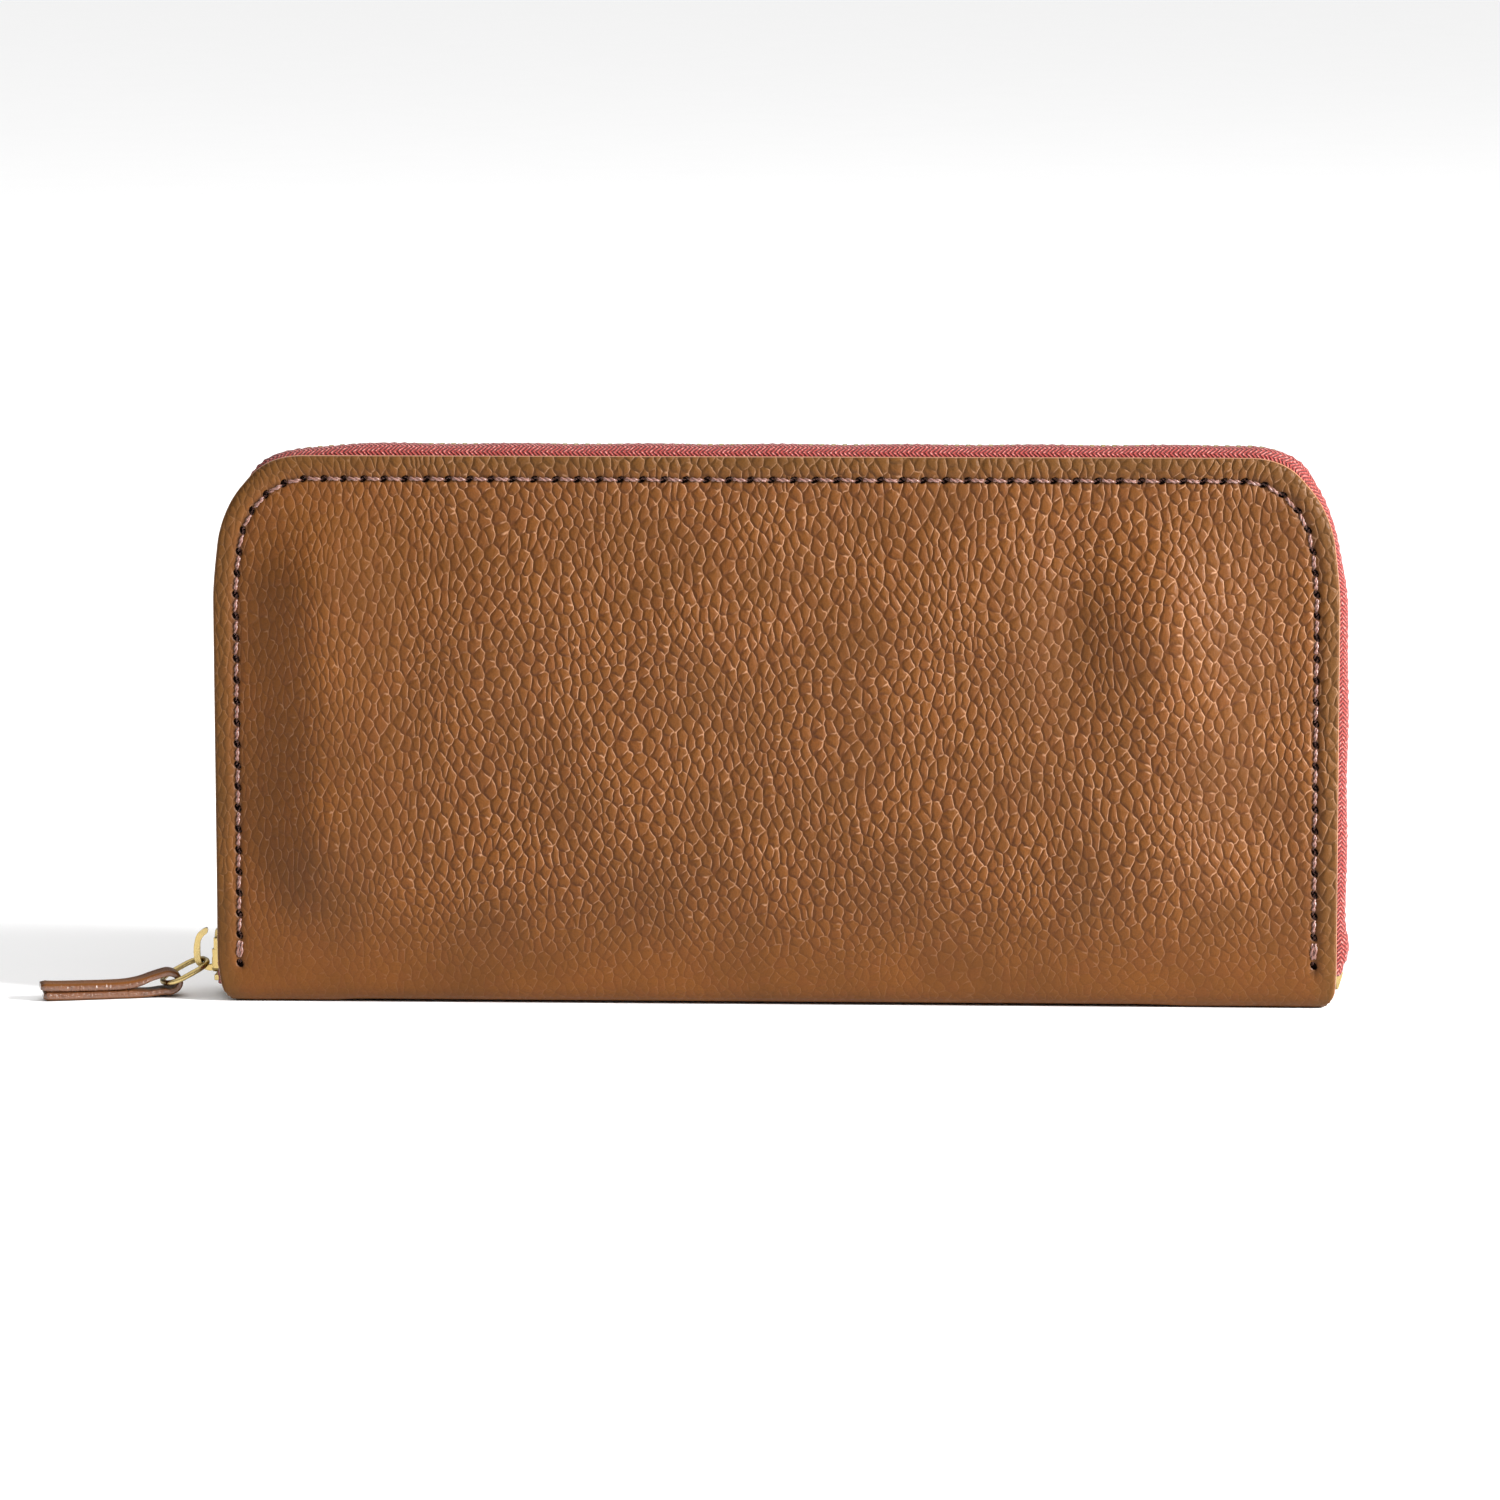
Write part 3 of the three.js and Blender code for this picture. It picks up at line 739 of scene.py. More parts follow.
def skin(name, body, mirror, *replaced):
    materials = (outer_leather, punched_hole, cut_edge, flesh_side)
    in_hole, on_edge, on_flesh = 1, 2, 3  # places in materials
    step = 1.0
    edge = inset_line(0.0, step)
    foot = [(x, 0.0) for x in np.linspace(-left_half(0.0), right_half(0.0), 160)[1:-1]]
    outline = edge + foot
    loops = [hole_ring(hole, 0.0, HOLE_SIDES) for hole in holes]
    rings = [p for hole in holes for p in hole_ring(hole, 0.28, 12)]

    rows = [0.14, 0.3, 0.5, 0.9, 1.5, 2.1, 2.7, 3.1, 3.45, 3.8, 4.2, 4.55, 4.9, 5.4, 6.2, 7.3]
    free = np.array([p for d in rows for p in inset_line(d, step)])
    grid = hex_grid((-HALF, 0.8), (HALF, V_TOP), 1.7)
    grid = grid[rim_distance(grid[:, 0], grid[:, 1]) > rows[-1] + 0.8]
    free = np.vstack([free[free[:, 1] > 0.5], grid])
    centres = np.array([hole[:2] for hole in holes])
    nearest = np.min(np.hypot(*(free[:, None] - centres[None]).transpose(2, 0, 1)), axis=1)
    free = free[nearest > HOLE_HALF[0] + 0.36]
    places, triangles, index_of = triangulated(outline, loops, [tuple(p) for p in free] + rings)

    shape = Shape()
    x, v = places.T
    outer = skin_point(x, v, surface_relief(x, v), mirror)
    shape.add(outer, triangles, places)
    rim = list(rim_distance(x, v))

    # Blind pockets in the punched holes.
    first = len(outline)
    for number, loop in enumerate(loops):
        top = [index_of[first + number * HOLE_SIDES + i] for i in range(HOLE_SIDES)]
        ring = np.array(loop)
        low = shape.add(skin_point(ring[:, 0], ring[:, 1], HOLE_DEPTH, mirror), [], ring)
        rim.extend([STITCH_INSET] * HOLE_SIDES)
        floor = tuple(range(low, low + HOLE_SIDES))
        shape.band(top, floor, in_hole)
        shape.faces.append(floor)
        shape.looks.append(in_hole)

    # The cut edge, then the flesh side.
    count = len(outline)
    flat = np.array(outline)
    normal = normals_along(flat, loop=True)
    ring_above = [index_of[i] for i in range(count)]
    for bulge, depth in ((0.1, 0.75), (0.1, 1.1), (0.0, LEATHER - 0.15)):
        push = np.where(flat[:, 1] > 0.01, bulge, 0.0)[:, None]
        moved = flat + normal * push
        low = shape.add(skin_point(moved[:, 0], moved[:, 1], depth, mirror), [], flat)
        rim.extend([0.0] * count)
        ring_below = list(range(low, low + count))
        shape.band(ring_above, ring_below, on_edge)
        ring_above = ring_below
    inside = hex_grid((-HALF, 2.0), (HALF, V_TOP), 3.4)
    inside = inside[rim_distance(inside[:, 0], inside[:, 1]) > 2.0]
    under, lower_triangles, lower_index = triangulated(outline, [], [tuple(p) for p in inside])
    own = {lower_index[i]: ring_above[i] for i in range(count)}
    extra = [i for i in range(len(under)) if i not in own]
    low = shape.add(skin_point(*under[extra].T, LEATHER - 0.15, mirror), [], under[extra])
    rim.extend([20.0] * len(extra))
    own.update({i: low + k for k, i in enumerate(extra)})
    for a, b, c in lower_triangles:
        shape.faces.append((own[c], own[b], own[a]))
        shape.looks.append(on_flesh)

    piece = shape.make(name, materials, mirror, rim)
    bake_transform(piece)
    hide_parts(*replaced)
    return piece


def stitching(name, body, mirror):
    """Saddle stitches: two twisted plies from each hole to the next."""
    shape = Shape()
    turns = 1.6
    ply, wind = 0.2, 0.16  # radius of a ply, and of the screw that it follows
    steps = np.linspace(0, 1, 17)
    for number in range(len(holes) - 1):
        first, last = np.array(holes[number][:2]), np.array(holes[number + 1][:2])
        doubled = number in (0, len(holes) - 2)
        along = unit(last - first)
        aside = np.array([-along[1], along[0]])
        slant = 0.13 + 0.05 * random.random()
        for shift in ((-0.3, 0.3) if doubled else (0.0,)):
            lean = slant * (1 - 2 * steps) + shift * np.sin(math.pi * steps)
            line = first + (last - first) * steps[:, None] + aside * lean[:, None]
            sink = 1 - smoothstep(np.minimum(steps, 1 - steps), 0.12, 0.29)
            depth = surface_relief(line[:, 0], line[:, 1]) - 0.06 + sink
            phase = random.random() * math.pi
            for half in (0, 1):
                turn = phase + math.pi * half + 2 * math.pi * turns * steps
                offset = aside * (wind * np.cos(turn))[:, None]
                place = line + offset
                path = skin_point(place[:, 0], place[:, 1], depth - wind * np.sin(turn), mirror)
                tube(shape, path, ply * np.clip(0.7 + 3 * np.minimum(steps, 1 - steps), 0, 1), 7)
    piece = shape.make(name, (stitch_thread,), mirror)
    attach(piece, body)
    return piece


# ---------------------------------------------------------------- the zip round the rim

LEFT_SINK = HALF + 1.8 - (-box_mm("front_teeth")[0][0])  # the zip lies this much deeper on the left
SIDE = TOP - CORNER
BEND = CORNER * math.pi / 2
ACROSS = 2 * (HALF - CORNER)
RIM_LENGTH = 2 * SIDE + 2 * BEND + ACROSS
CHAIN_LEFT = 4.1  # heights at which the chain of teeth ends
CHAIN_RIGHT = 6.5


def zip_sink(s):
    """The zip lies deeper down the left side, deepest round the left top corner."""
    free = smoothstep(s, SIDE + BEND - 13, SIDE + BEND + 13)
    corner = 0.75 * smoothstep(s, SIDE - 9, SIDE + 8)
    right = np.exp(-(((s - (SIDE + 2 * BEND + ACROSS - 3)) / 12) ** 2))
    return (LEFT_SINK + corner) * (1 - free) + right


def rim_point(s, y, outwards):
    """Places at distance s along the zip, from the left foot, and outwards of the leather's edge."""
    s = np.asarray(s, float)
    left = np.clip((s - SIDE) / CORNER, 0, math.pi / 2)
    right = np.clip((s - SIDE - BEND - ACROSS) / CORNER, 0, math.pi / 2)
    heading = math.pi - left - right
    top = np.clip(s - SIDE - BEND, 0, ACROSS)
    down = np.maximum(s - SIDE - 2 * BEND - ACROSS, 0)
    sunk = zip_sink(s)
    reach = CORNER + outwards - sunk
    x = CORNER - HALF + top + reach * np.cos(heading)
    z = np.minimum(s, SIDE) + reach * np.sin(heading) - down
    return np.stack([pinched(x, z), y + 0 * s, z], -1)


# Distance from the middle, and height over the leather's edge, from the sewn border to the chain.
TAPE_SECTION = [(7.35, -7.0), (7.35, -3.5), (7.35, -1.0), (7.15, 0.4), (6.5, 1.3), (5.6, 1.75)]
TAPE_SECTION += [(4.6, 1.75), (3.9, 1.4), (3.4, 0.95), (2.9, 0.75), (2.2, 0.7)]
TAPE_THICK = 0.45
TEETH_LOWER = 0.5


def tape_lift(s, highest):
    """How far the tape's loop rises: little down the left side, and it tucks in at both ends."""
    left = 0.58 + (highest - 0.58) * smoothstep(s, SIDE, SIDE + BEND - 6)
    last = RIM_LENGTH - CHAIN_RIGHT
    swell = 0.28 * np.exp(-(((s - last + 4.5) / 2.6) ** 2))
    return left * (0.55 + 0.45 * smoothstep(last - s, -1.0, 2.5)) + swell * smoothstep(last - s, -0.5, 2.5)


def zip_tape(name, body, mirror, *replaced):
    line = curve_through(TAPE_SECTION, 2)
    outwards = normals_along(line) * TAPE_THICK / 2
    section = np.vstack([line + outwards, (line - outwards)[::-1]])
    across = reach_along(line)
    across = np.concatenate([across, across[::-1] + 20])
    stations = np.linspace(CHAIN_LEFT - 1.2, RIM_LENGTH - CHAIN_RIGHT + 0.8, 420)
    shape = Shape()
    points, flat = [], []
    for s in stations:
        ripple = 0.05 * math.sin(s * 2 * math.pi / 2.0) + 0.05 * math.sin(s / 3.7)
        lift = float(tape_lift(s, 0.5 if mirror else 0.92)) + ripple
        raised = np.where(section[:, 1] > 0, section[:, 1] * lift, section[:, 1])
        points.extend(rim_point(s, 0.0, n) + (0.0, -y, 0.0) for y, n in zip(section[:, 0], raised))
        flat.extend((s, w) for w in across)
    shape.add_rings(points, len(section), flat)
    piece = shape.make(name, (zip_cloth,), mirror)
    return settle(piece, body, "zip_tape", *replaced)


def tooth(shape, place, across=1.0):
    """One tooth: two legs round the tape's cord and a narrower head that locks with the others."""
    profile = [  # from the middle, half thickness along the chain, lowest and highest outwards
        (2.55, 0.36, 0.3, 1.45),
        (2.35, 0.52, 0.0, 1.75),
        (1.5, 0.56, -0.05, 1.85),
        (0.95, 0.5, 0.0, 1.82),
        (0.55, 0.38, 0.2, 1.62),
        (-0.15, 0.34, 0.3, 1.5),
        (-0.35, 0.2, 0.5, 1.3),
    ]
    corners = 8
    rings = []
    for y, half, low, high in profile:
        middle, tall = (low + high) / 2, (high - low) / 2
        for k in range(corners):
            angle = (k + 0.5) * 2 * math.pi / corners
            a = 1.12 * half * np.sign(math.cos(angle)) * abs(math.cos(angle)) ** 0.6
            b = 1.12 * tall * np.sign(math.sin(angle)) * abs(math.sin(angle)) ** 0.6
            rings.append(place(a * across, y * across, middle + b))
    shape.add_rings(rings, corners)


def zip_teeth(name, body, mirror, first, *replaced):
    shape = Shape()
    pitch = 2.0
    last = RIM_LENGTH - CHAIN_RIGHT
    for s in np.arange(CHAIN_LEFT + 0.6 + first, last - 0.4, pitch):
        tooth(shape, lambda a, y, n, s=s: rim_point(s + a, -y, n - TEETH_LOWER))
    piece = shape.make(name, (tooth_gold,), mirror)
    return settle(piece, body, "gold_metal", *replaced)


def clamp(name, low, high, body, *replaced, slant=0.0):
    """A metal stop bent round the tape: a rounded block with a pressed groove and a leaning end."""
    shape = Shape()
    middle = (low + high) / 2
    tall = (high[2] - low[2]) / 2
    half = (high[0] - low[0]) / 2
    outline = []
    for a, b in arc((0, 0), 1, 0, 345, 24):
        a = middle[0] + half * np.sign(a) * min(1, abs(a) * 1.35)
        b = middle[2] + tall * np.sign(b) * min(1, abs(b) * 1.35)
        outline.append((a - slant * (high[2] - b) / (2 * tall) if a > middle[0] else a, b))
    for side in (-1, 1):
        y0, y1 = sorted((middle[1] + side * 0.12, low[1] if side < 0 else high[1]))
        prism(shape, outline, y0, y1, upright)
    waist = [(middle[0] + (a - middle[0]) * 0.8, middle[2] + (b - middle[2]) * 0.8) for a, b in outline]
    prism(shape, waist, middle[1] - 0.2, middle[1] + 0.2, upright)
    piece = bevel(shape.make(name, (gold,)), 0.12)
    return settle(piece, body, "gold_metal", *replaced)


# ---------------------------------------------------------------- slider, ring and tab

slider_low, slider_high = box_mm("slider_body")
CHANNEL_LOW = -0.4
CHANNEL_HIGH = 2.1
PLATE = 0.5


def left_x(outwards):
    return LEFT_SINK - HALF - outwards


def rounded_outline(low, high, radius, steps=5):
    """A rectangle with round corners."""
    a0, b0, a1, b1 = low[0] + radius, low[1] + radius, high[0] - radius, high[1] - radius
    return (
        arc((a1, b1), radius, 0, 90, steps)
        + arc((a0, b1), radius, 90, 180, steps)
        + arc((a0, b0), radius, 180, 270, steps)
        + arc((a1, b0), radius, 270, 360, steps)
    )


def slider():
    low_z, high_z = slider_low[2], slider_high[2]
    half = slider_high[1]
    hook_tip = slider_low[0]
    shape = Shape()

    def face(a, b, depth):
        return (left_x(depth), a, b)

    # Plates with round shoulders and a waist where the chains part.
    waist = 0.45
    shoulder = high_z - 2.4
    plate = (
        arc((half - 1.6, high_z - 1.6), 1.6, 0, 90, 6)
        + arc((-half + 1.6, high_z - 1.6), 1.6, 90, 180, 6)
        + [(-half + waist, shoulder - 2.0)]
        + arc((-half + 1.9, low_z + 1.0), 1.0, 180, 270, 4)
        + arc((half - 1.9, low_z + 1.0), 1.0, 270, 360, 4)
        + [(half - waist, shoulder - 2.0)]
    )
    low_part = [(a, min(b, low_z + 4.4)) for a, b in plate]
    prism(shape, low_part, CHANNEL_HIGH - 0.1, CHANNEL_HIGH + PLATE, face)
    prism(shape, plate, CHANNEL_HIGH - 0.5, CHANNEL_HIGH, face)
    prism(shape, plate, CHANNEL_LOW - PLATE, CHANNEL_LOW, face)
    wedge = [(-0.11, high_z - 0.3), (-0.264, high_z - 1.4), (0, high_z - 3.4)]
    wedge += [(0.264, high_z - 1.4), (0.11, high_z - 0.3)]
    prism(shape, wedge, CHANNEL_LOW - 0.1, CHANNEL_HIGH + 0.1, face)
    for side in (-1, 1):
        rail = [(side * (half - 0.55), low_z + 0.9), (side * (half - 0.05), low_z + 0.9)]
        rail += [(side * (half - 0.05), high_z - 1.3), (side * (half - 0.55), high_z - 1.3)]
        prism(shape, rail, 1.3, CHANNEL_HIGH + 0.2, face)
        prism(shape, rail, CHANNEL_LOW - 0.2, 0.1, face)

    # The open hook that holds the ring.
    root = left_x(CHANNEL_HIGH + PLATE)
    band = 1.15
    inner = hook_tip + band
    outside = [(root + 0.3, low_z + 0.05), (root - 1.2, low_z + 0.02), (hook_tip + 0.5, low_z + 1.1)]
    outside += [(hook_tip, low_z + 3.4), (hook_tip + 0.45, high_z - 1.6), (hook_tip + 1.5, high_z - 0.4)]
    outside += [(root - 1.35, high_z), (root - 1.1, high_z - 0.4)]
    inside = [(root - 1.25, high_z - 1.0), (inner + 0.65, high_z - 1.6), (inner + 0.1, high_z - 2.6)]
    inside += [(inner, low_z + 3.2), (inner + 0.25, low_z + 1.7), (root - 1.4, low_z + 1.05)]
    inside += [(root + 0.3, low_z + 1.3)]
    prism(shape, [*curve_through(outside, 4), *curve_through(inside, 4)], -0.5, 0.5, upright)
    foot = rounded_outline((-1.1, low_z + 0.1), (1.1, low_z + 2.6), 0.6)
    prism(shape, foot, CHANNEL_HIGH + PLATE - 0.1, CHANNEL_HIGH + PLATE + 0.35, face)
    piece = bevel(shape.make("slider_casting", (gold,)), 0.14, 3)
    return settle(piece, "slider", "gold_metal", "slider_body")


ring_hook = joint_mm("ring_swing")
ring_tab = joint_mm("tab_swing")
ring_across = unit(joints["ring_swing"]["axis"])
ring_along = unit(ring_tab - ring_hook)
RING_HALF_LENGTH = np.linalg.norm(ring_tab - ring_hook) / 2
RING_HALF_WIDTH = 3.5
RING_CORNER = 3.0
WIRE = 0.5


def pull_ring():
    middle = (ring_hook + ring_tab) / 2
    path = []
    for a, b in arc((0, 0), RING_CORNER, 0, 360 - 360 / 64, 64):
        along = a + np.sign(round(a, 6)) * (RING_HALF_LENGTH - RING_CORNER)
        across = b + np.sign(round(b, 6)) * (RING_HALF_WIDTH - RING_CORNER)
        path.append(middle + ring_along * along + ring_across * across)
    shape = Shape()
    tube(shape, path, WIRE, 14, loop=True)
    piece = shape.make("wire_ring", (gold,))
    return settle(piece, "pull_ring", "gold_metal", "pull_ring")


def pull_tab():
    """A strap folded round the ring, glued to itself and cut square at its end."""
    yaw = math.radians(14)
    turn = np.array([[math.cos(yaw), -math.sin(yaw)], [math.sin(yaw), math.cos(yaw)]])
    width, length = 4.4, 25.6
    wall, layer = 1.1, 1.5
    eye = (0.55, ring_tab[2] + 0.2)
    loop = (1.55 + wall / 2, 1.15 + wall / 2)
    end = eye[0] + loop[0] + wall / 2 - length
    top = 2 * layer + 0.1
    join = end + length * 0.62
    lower, upper = layer / 2, top - layer / 2
    under = [(end + 0.5, lower + 0.25), (end + 3, lower + 0.08), (end + 9, lower + 0.02)]
    under += [(join, lower + 0.02), (join + 3.5, lower + 0.06)]
    over = [(join + 4.2, upper + 1.35), (join + 2.0, upper + 0.55), (join - 0.5, upper + 0.1)]
    over += [(join - 4, upper), (end + 9, upper + 0.02), (end + 3, upper + 0.1), (end, upper + 0.3)]
    line = curve_through(under + arc(eye, loop, -110, 105, 13) + over, 3)
    normal = normals_along(line)
    thick = wall + (layer - wall) * smoothstep(join + 4.5 - line[:, 0], 0.0, 4.0)
    reach = reach_along(line)
    from_end = np.minimum(reach, reach[-1] - reach)
    round_end = np.sqrt(1 - (1 - np.clip(from_end / 0.7, 0.12, 1)) ** 2)
    flare = 0.4 * np.exp(-(((line[:, 0] - eye[0]) / 4.0) ** 2))
    points, flat = [], []
    for place, out, t, s, grow, shrink in zip(line, normal, thick, reach, flare, round_end):
        t, w = t * (0.35 + 0.65 * shrink), (width + grow) * (0.8 + 0.2 * shrink)
        for y, through in rounded_outline((-w / 2, -t / 2), (w / 2, t / 2), 0.44 * t, 5):
            p = place + out * through
            turned = turn @ (p[0], y)
            points.append((ring_tab[0] + turned[0], ring_tab[1] + turned[1], max(p[1], 0.02)))
            flat.append((s, y + 10 * through))
    shape = Shape()
    sides = 20
    shape.add_rings(points, sides, flat)
    narrow_sides = {0, 1, 2, 3, 18, 19, 8, 9, 10, 11, 12, 13}
    caps = len(shape.faces) - 2
    for i in range(len(shape.faces)):
        if i >= caps or i % sides in narrow_sides:
            shape.looks[i] = 1
    piece = shape.make("folded_pull_tab", (strap_leather, strap_edge_look()))
    return settle(piece, "pull_tab", "outer_leather", "pull_tab")


def strap_edge_look():
    """The strap's painted edge, glossy and a little uneven."""
    look = Look("strap_edge", 0.22, specular=0.7)
    where = look.place()
    tone = look.colours(look.noise(where, 0.6, 4.0), rgb(74, 40, 20), rgb(112, 68, 38))
    look.set("Base Color", tone)
    look.set("Coat Weight", 0.4)
    look.bump(look.times(look.noise(where, 2.0, 3.0), 0.3))
    return look.material


# ---------------------------------------------------------------- the inside


def closed_sheet(outline, pitch, point, thickness, rim_material=0):
    """A thin closed panel. point(x, z, depth) gives the places on its two faces."""
    flat = np.array(outline)
    low, high = flat.min(0), flat.max(0)
    grid = hex_grid(low + pitch / 2, high, pitch)
    inside = []
    for x, z in grid:
        near = np.hypot(*(flat - (x, z)).T).min()
        crossing = 0
        for (x0, z0), (x1, z1) in zip(flat, np.roll(flat, -1, 0)):
            if (z0 > z) != (z1 > z) and x < x0 + (z - z0) / (z1 - z0) * (x1 - x0):
                crossing += 1
        if crossing % 2 and near > pitch * 0.4:
            inside.append((x, z))
    places, triangles, index_of = triangulated(outline, [], inside)
    shape = Shape()
    front = shape.add([point(x, z, 0.0) for x, z in places], triangles, places)
    turned = [t[::-1] for t in triangles]
    back = shape.add([point(x, z, thickness) for x, z in places], turned, places)
    ring = [index_of[i] for i in range(len(outline))]
    shape.band([front + i for i in ring], [back + i for i in ring], rim_material)
    return shape


def dense(points, step):
    """The same closed outline with points no further apart than step."""
    line = []
    for (x0, z0), (x1, z1) in zip(points, points[1:] + points[:1]):
        parts = max(1, int(math.ceil(math.hypot(x1 - x0, z1 - z0) / step)))
        line.extend((x0 + (x1 - x0) * k / parts, z0 + (z1 - z0) * k / parts) for k in range(parts))
    return line


def arch_outline(half, floor, top, radius):
    right = arc((half - radius, top - radius), radius, 0, 90, 9)
    left = arc((-half + radius, top - radius), radius, 90, 180, 9)
    return dense([(-half, floor), (half, floor)] + right + left, 4.0)


def inner_depth(x, z, rim, belly):
    return rim + (belly - rim) * swelling(x, z)


def lining_panel(name, body, mirror, *replaced):
    low, high = box_mm("front_lining")
    rim, belly = 6.8, -low[1]

    def point(x, z, depth):
        ease = smoothstep(min(high[0] - abs(x), high[2] - z), 0, 8)
        pucker = 0.12 * ease * math.sin(x / 3.1 + 1.5 * math.sin(z / 7)) * math.sin(z / 4.3)
        return (x, -(inner_depth(x, z, rim, belly) - depth + min(0.0, pucker)), z)

    shape = closed_sheet(arch_outline(high[0], low[2], high[2], 14.0), 4.0, point, 0.45)
    piece = shape.make(name, (cotton,), mirror)
    return settle(piece, body, "lining_cloth", *replaced)


def straight_stitches(shape, start, end, point):
    """A row of plain stitches on a panel, from start to end in its (x, z) plane."""
    pitch, radius = 3.2, 0.21
    start, end = np.array(start, float), np.array(end, float)
    length = np.linalg.norm(end - start)
    along = (end - start) / length
    for number in range(int(length / pitch)):
        first = start + along * (number + 0.12) * pitch
        t = np.linspace(0, 1, 7)
        line = first + along * (t * pitch * 0.76)[:, None]
        rise = -0.12 + 0.3 * (1 - np.abs(2 * t - 1) ** 3)
        path = [point(x, z, -up) for (x, z), up in zip(line, rise)]
        tube(shape, path, radius, 6, look=2)


def card_panel(level, name, body, mirror, *replaced):
    """One stepped card pocket: a leather panel with a folded lip, sewn up its middle and sides."""
    low, high = box_mm(f"front_card_slot_{level + 1}")
    thick = 0.55
    step = 0.85 * level
    rim, belly = 6 - step, 9.8 - step
    half, floor, top = high[0], low[2], high[2]

    def point(x, z, depth):
        lip = 0.16 * smoothstep(z, top - 3.4, top - 2.9) - 0.1 * math.exp(-(((z - top + 2.6) / 0.5) ** 2))
        sag = 0.14 * math.sin(x / 13 + level) * smoothstep(z, floor, floor + 30)
        return (x, -(inner_depth(x, z, rim, belly) - depth - (lip + sag if depth > 0.3 else 0.0)), z)

    outline = [(x, floor) for x in np.linspace(-half, half, 45)]
    outline += [(half, z) for z in np.linspace(floor, top - 1.5, int((top - floor) / 4))[1:]]
    outline += arc((half - 1.5, top - 1.5), 1.5, 20, 90, 4)
    outline += [(x, top) for x in np.linspace(half - 3, -half + 3, 60)]
    outline += arc((-half + 1.5, top - 1.5), 1.5, 90, 160, 4)
    outline += [(-half, z) for z in np.linspace(floor, top - 1.5, int((top - floor) / 4))[1:][::-1]]
    shape = closed_sheet(outline, 3.0, point, thick, 1)

    def on_panel(x, z, depth):
        return point(x, z, thick + depth)

    for start, end in (
        ((-half + 2, top - 2.4), (half - 2, top - 2.4)),
        ((0, floor + 2), (0, top - 3.4)),
        ((-half + 2, floor + 2), (-half + 2, top - 3.4)),
        ((half - 2, floor + 2), (half - 2, top - 3.4)),
    ):
        straight_stitches(shape, start, end, on_panel)
    piece = shape.make(name, (inner_leather, cut_edge, stitch_thread), mirror)
    return settle(piece, body, "inner_leather", *replaced)


def gusset(side, name, body, mirror, *replaced):
    """A pleated cloth wall between the cover's lining and the end of the coin pocket."""
    half_thick = 0.15
    weave = 4  # the pleat is drawn out when the wallet opens, so its weave is made finer across
    pleat = [(96.2, -5.75), (93.0, -5.35), (90.2, -5.1), (89.2, -4.7), (90.2, -4.3)]
    pleat += [(92.0, -3.8), (93.25, -3.4)]
    line = curve_through(pleat, 4)
    aside = normals_along(line) * half_thick
    section = np.vstack([line + aside, (line - aside)[::-1]])
    reach = reach_along(line)
    reach = np.concatenate([reach, reach[::-1]])
    low, high = box_mm("front_gusset_right")
    rows = np.linspace(low[2], high[2], 34)
    points, flat = [], []
    for z in rows:
        ease = 0.25 * math.sin(z / 5.5) * (1 - ((z - rows[0]) / (rows[-1] - rows[0]))) ** 0.5
        for (x, y), w in zip(section, reach):
            tuck = ease * math.exp(-(((x - 90) / 1.6) ** 2))
            points.append((side * (x + tuck), y, z))
            flat.append((weave * w, z))
    shape = Shape()
    shape.add_rings(points, len(section), flat)
    piece = shape.make(name, (cotton,), mirror)
    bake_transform(piece)
    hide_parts(*replaced)
    return piece


def spine_cloth():
    low, high = box_mm("spine_lining")

    def point(x, y, depth):
        quilt = 0.1 * math.sin(x / 6.3) * math.sin(y / 2.2)
        return (x, y, high[2] - depth - abs(quilt))

    outline = dense([(low[0], low[1]), (high[0], low[1]), (high[0], high[1]), (low[0], high[1])], 3.0)
    piece = closed_sheet(outline, 3.0, point, 0.4).make("spine_lining_cloth", (cotton,))
    return settle(piece, "spine", "lining_cloth", "spine_lining")


def coin_pocket():
    """A flat pouch of lining cloth with leather bands sewn along its mouth."""
    low, high = box_mm("coin_pocket")
    wall = 0.6
    half, deep = high[0], high[1]
    rows = np.linspace(low[2], high[2], 42)
    shape = Shape()

    def loop(z, inset):
        foot = smoothstep(z, low[2], low[2] + 4)
        y = (deep - inset) * (0.55 + 0.45 * foot)
        x = half - inset - 1.4 * (1 - foot)
        end = rounded_outline((-x, -y), (x, y), min(y * 0.95, 2.2), 5)
        ring = []
        for a, b in dense(end, 6.0):
            crease = 0.16 * math.sin(a / 7 + z / 9) * math.sin(z / 6) * smoothstep(x - abs(a), 0, 12)
            ring.append((a, b - np.sign(b) * abs(crease), z))
        return ring

    count = len(loop(rows[-1], 0.0))
    outside = [loop(z, 0.0) for z in rows]
    inside = [loop(z, wall) for z in rows[2:]][::-1]
    rings = [ring for ring in outside + inside if len(ring) == count]
    points = [p for ring in rings for p in ring]
    flat = [(p[0], p[2]) for p in points]
    shape.add_rings(points, count, flat)

    band_low = high[2] - 7.0
    for side in (-1, 1):
        y0 = side * (deep - 0.02)

        def band(a, b, depth, side=side, y0=y0):
            return (a, y0 + side * depth, b)

        strip = rounded_outline((-half + 3, band_low), (half - 3, high[2] + 0.1), 1.2)
        prism(shape, dense(strip, 6.0), 0.0, 0.3, band, 1)

        def on_band(x, z, depth, side=side, y0=y0):
            return (x, y0 + side * (0.3 - depth), z)

        straight_stitches(shape, (-half + 5, band_low + 1.4), (half - 5, band_low + 1.4), on_band)
    piece = shape.make("coin_pouch", (cotton, inner_leather, stitch_thread))
    return settle(piece, "spine", "lining_cloth", "coin_pocket")


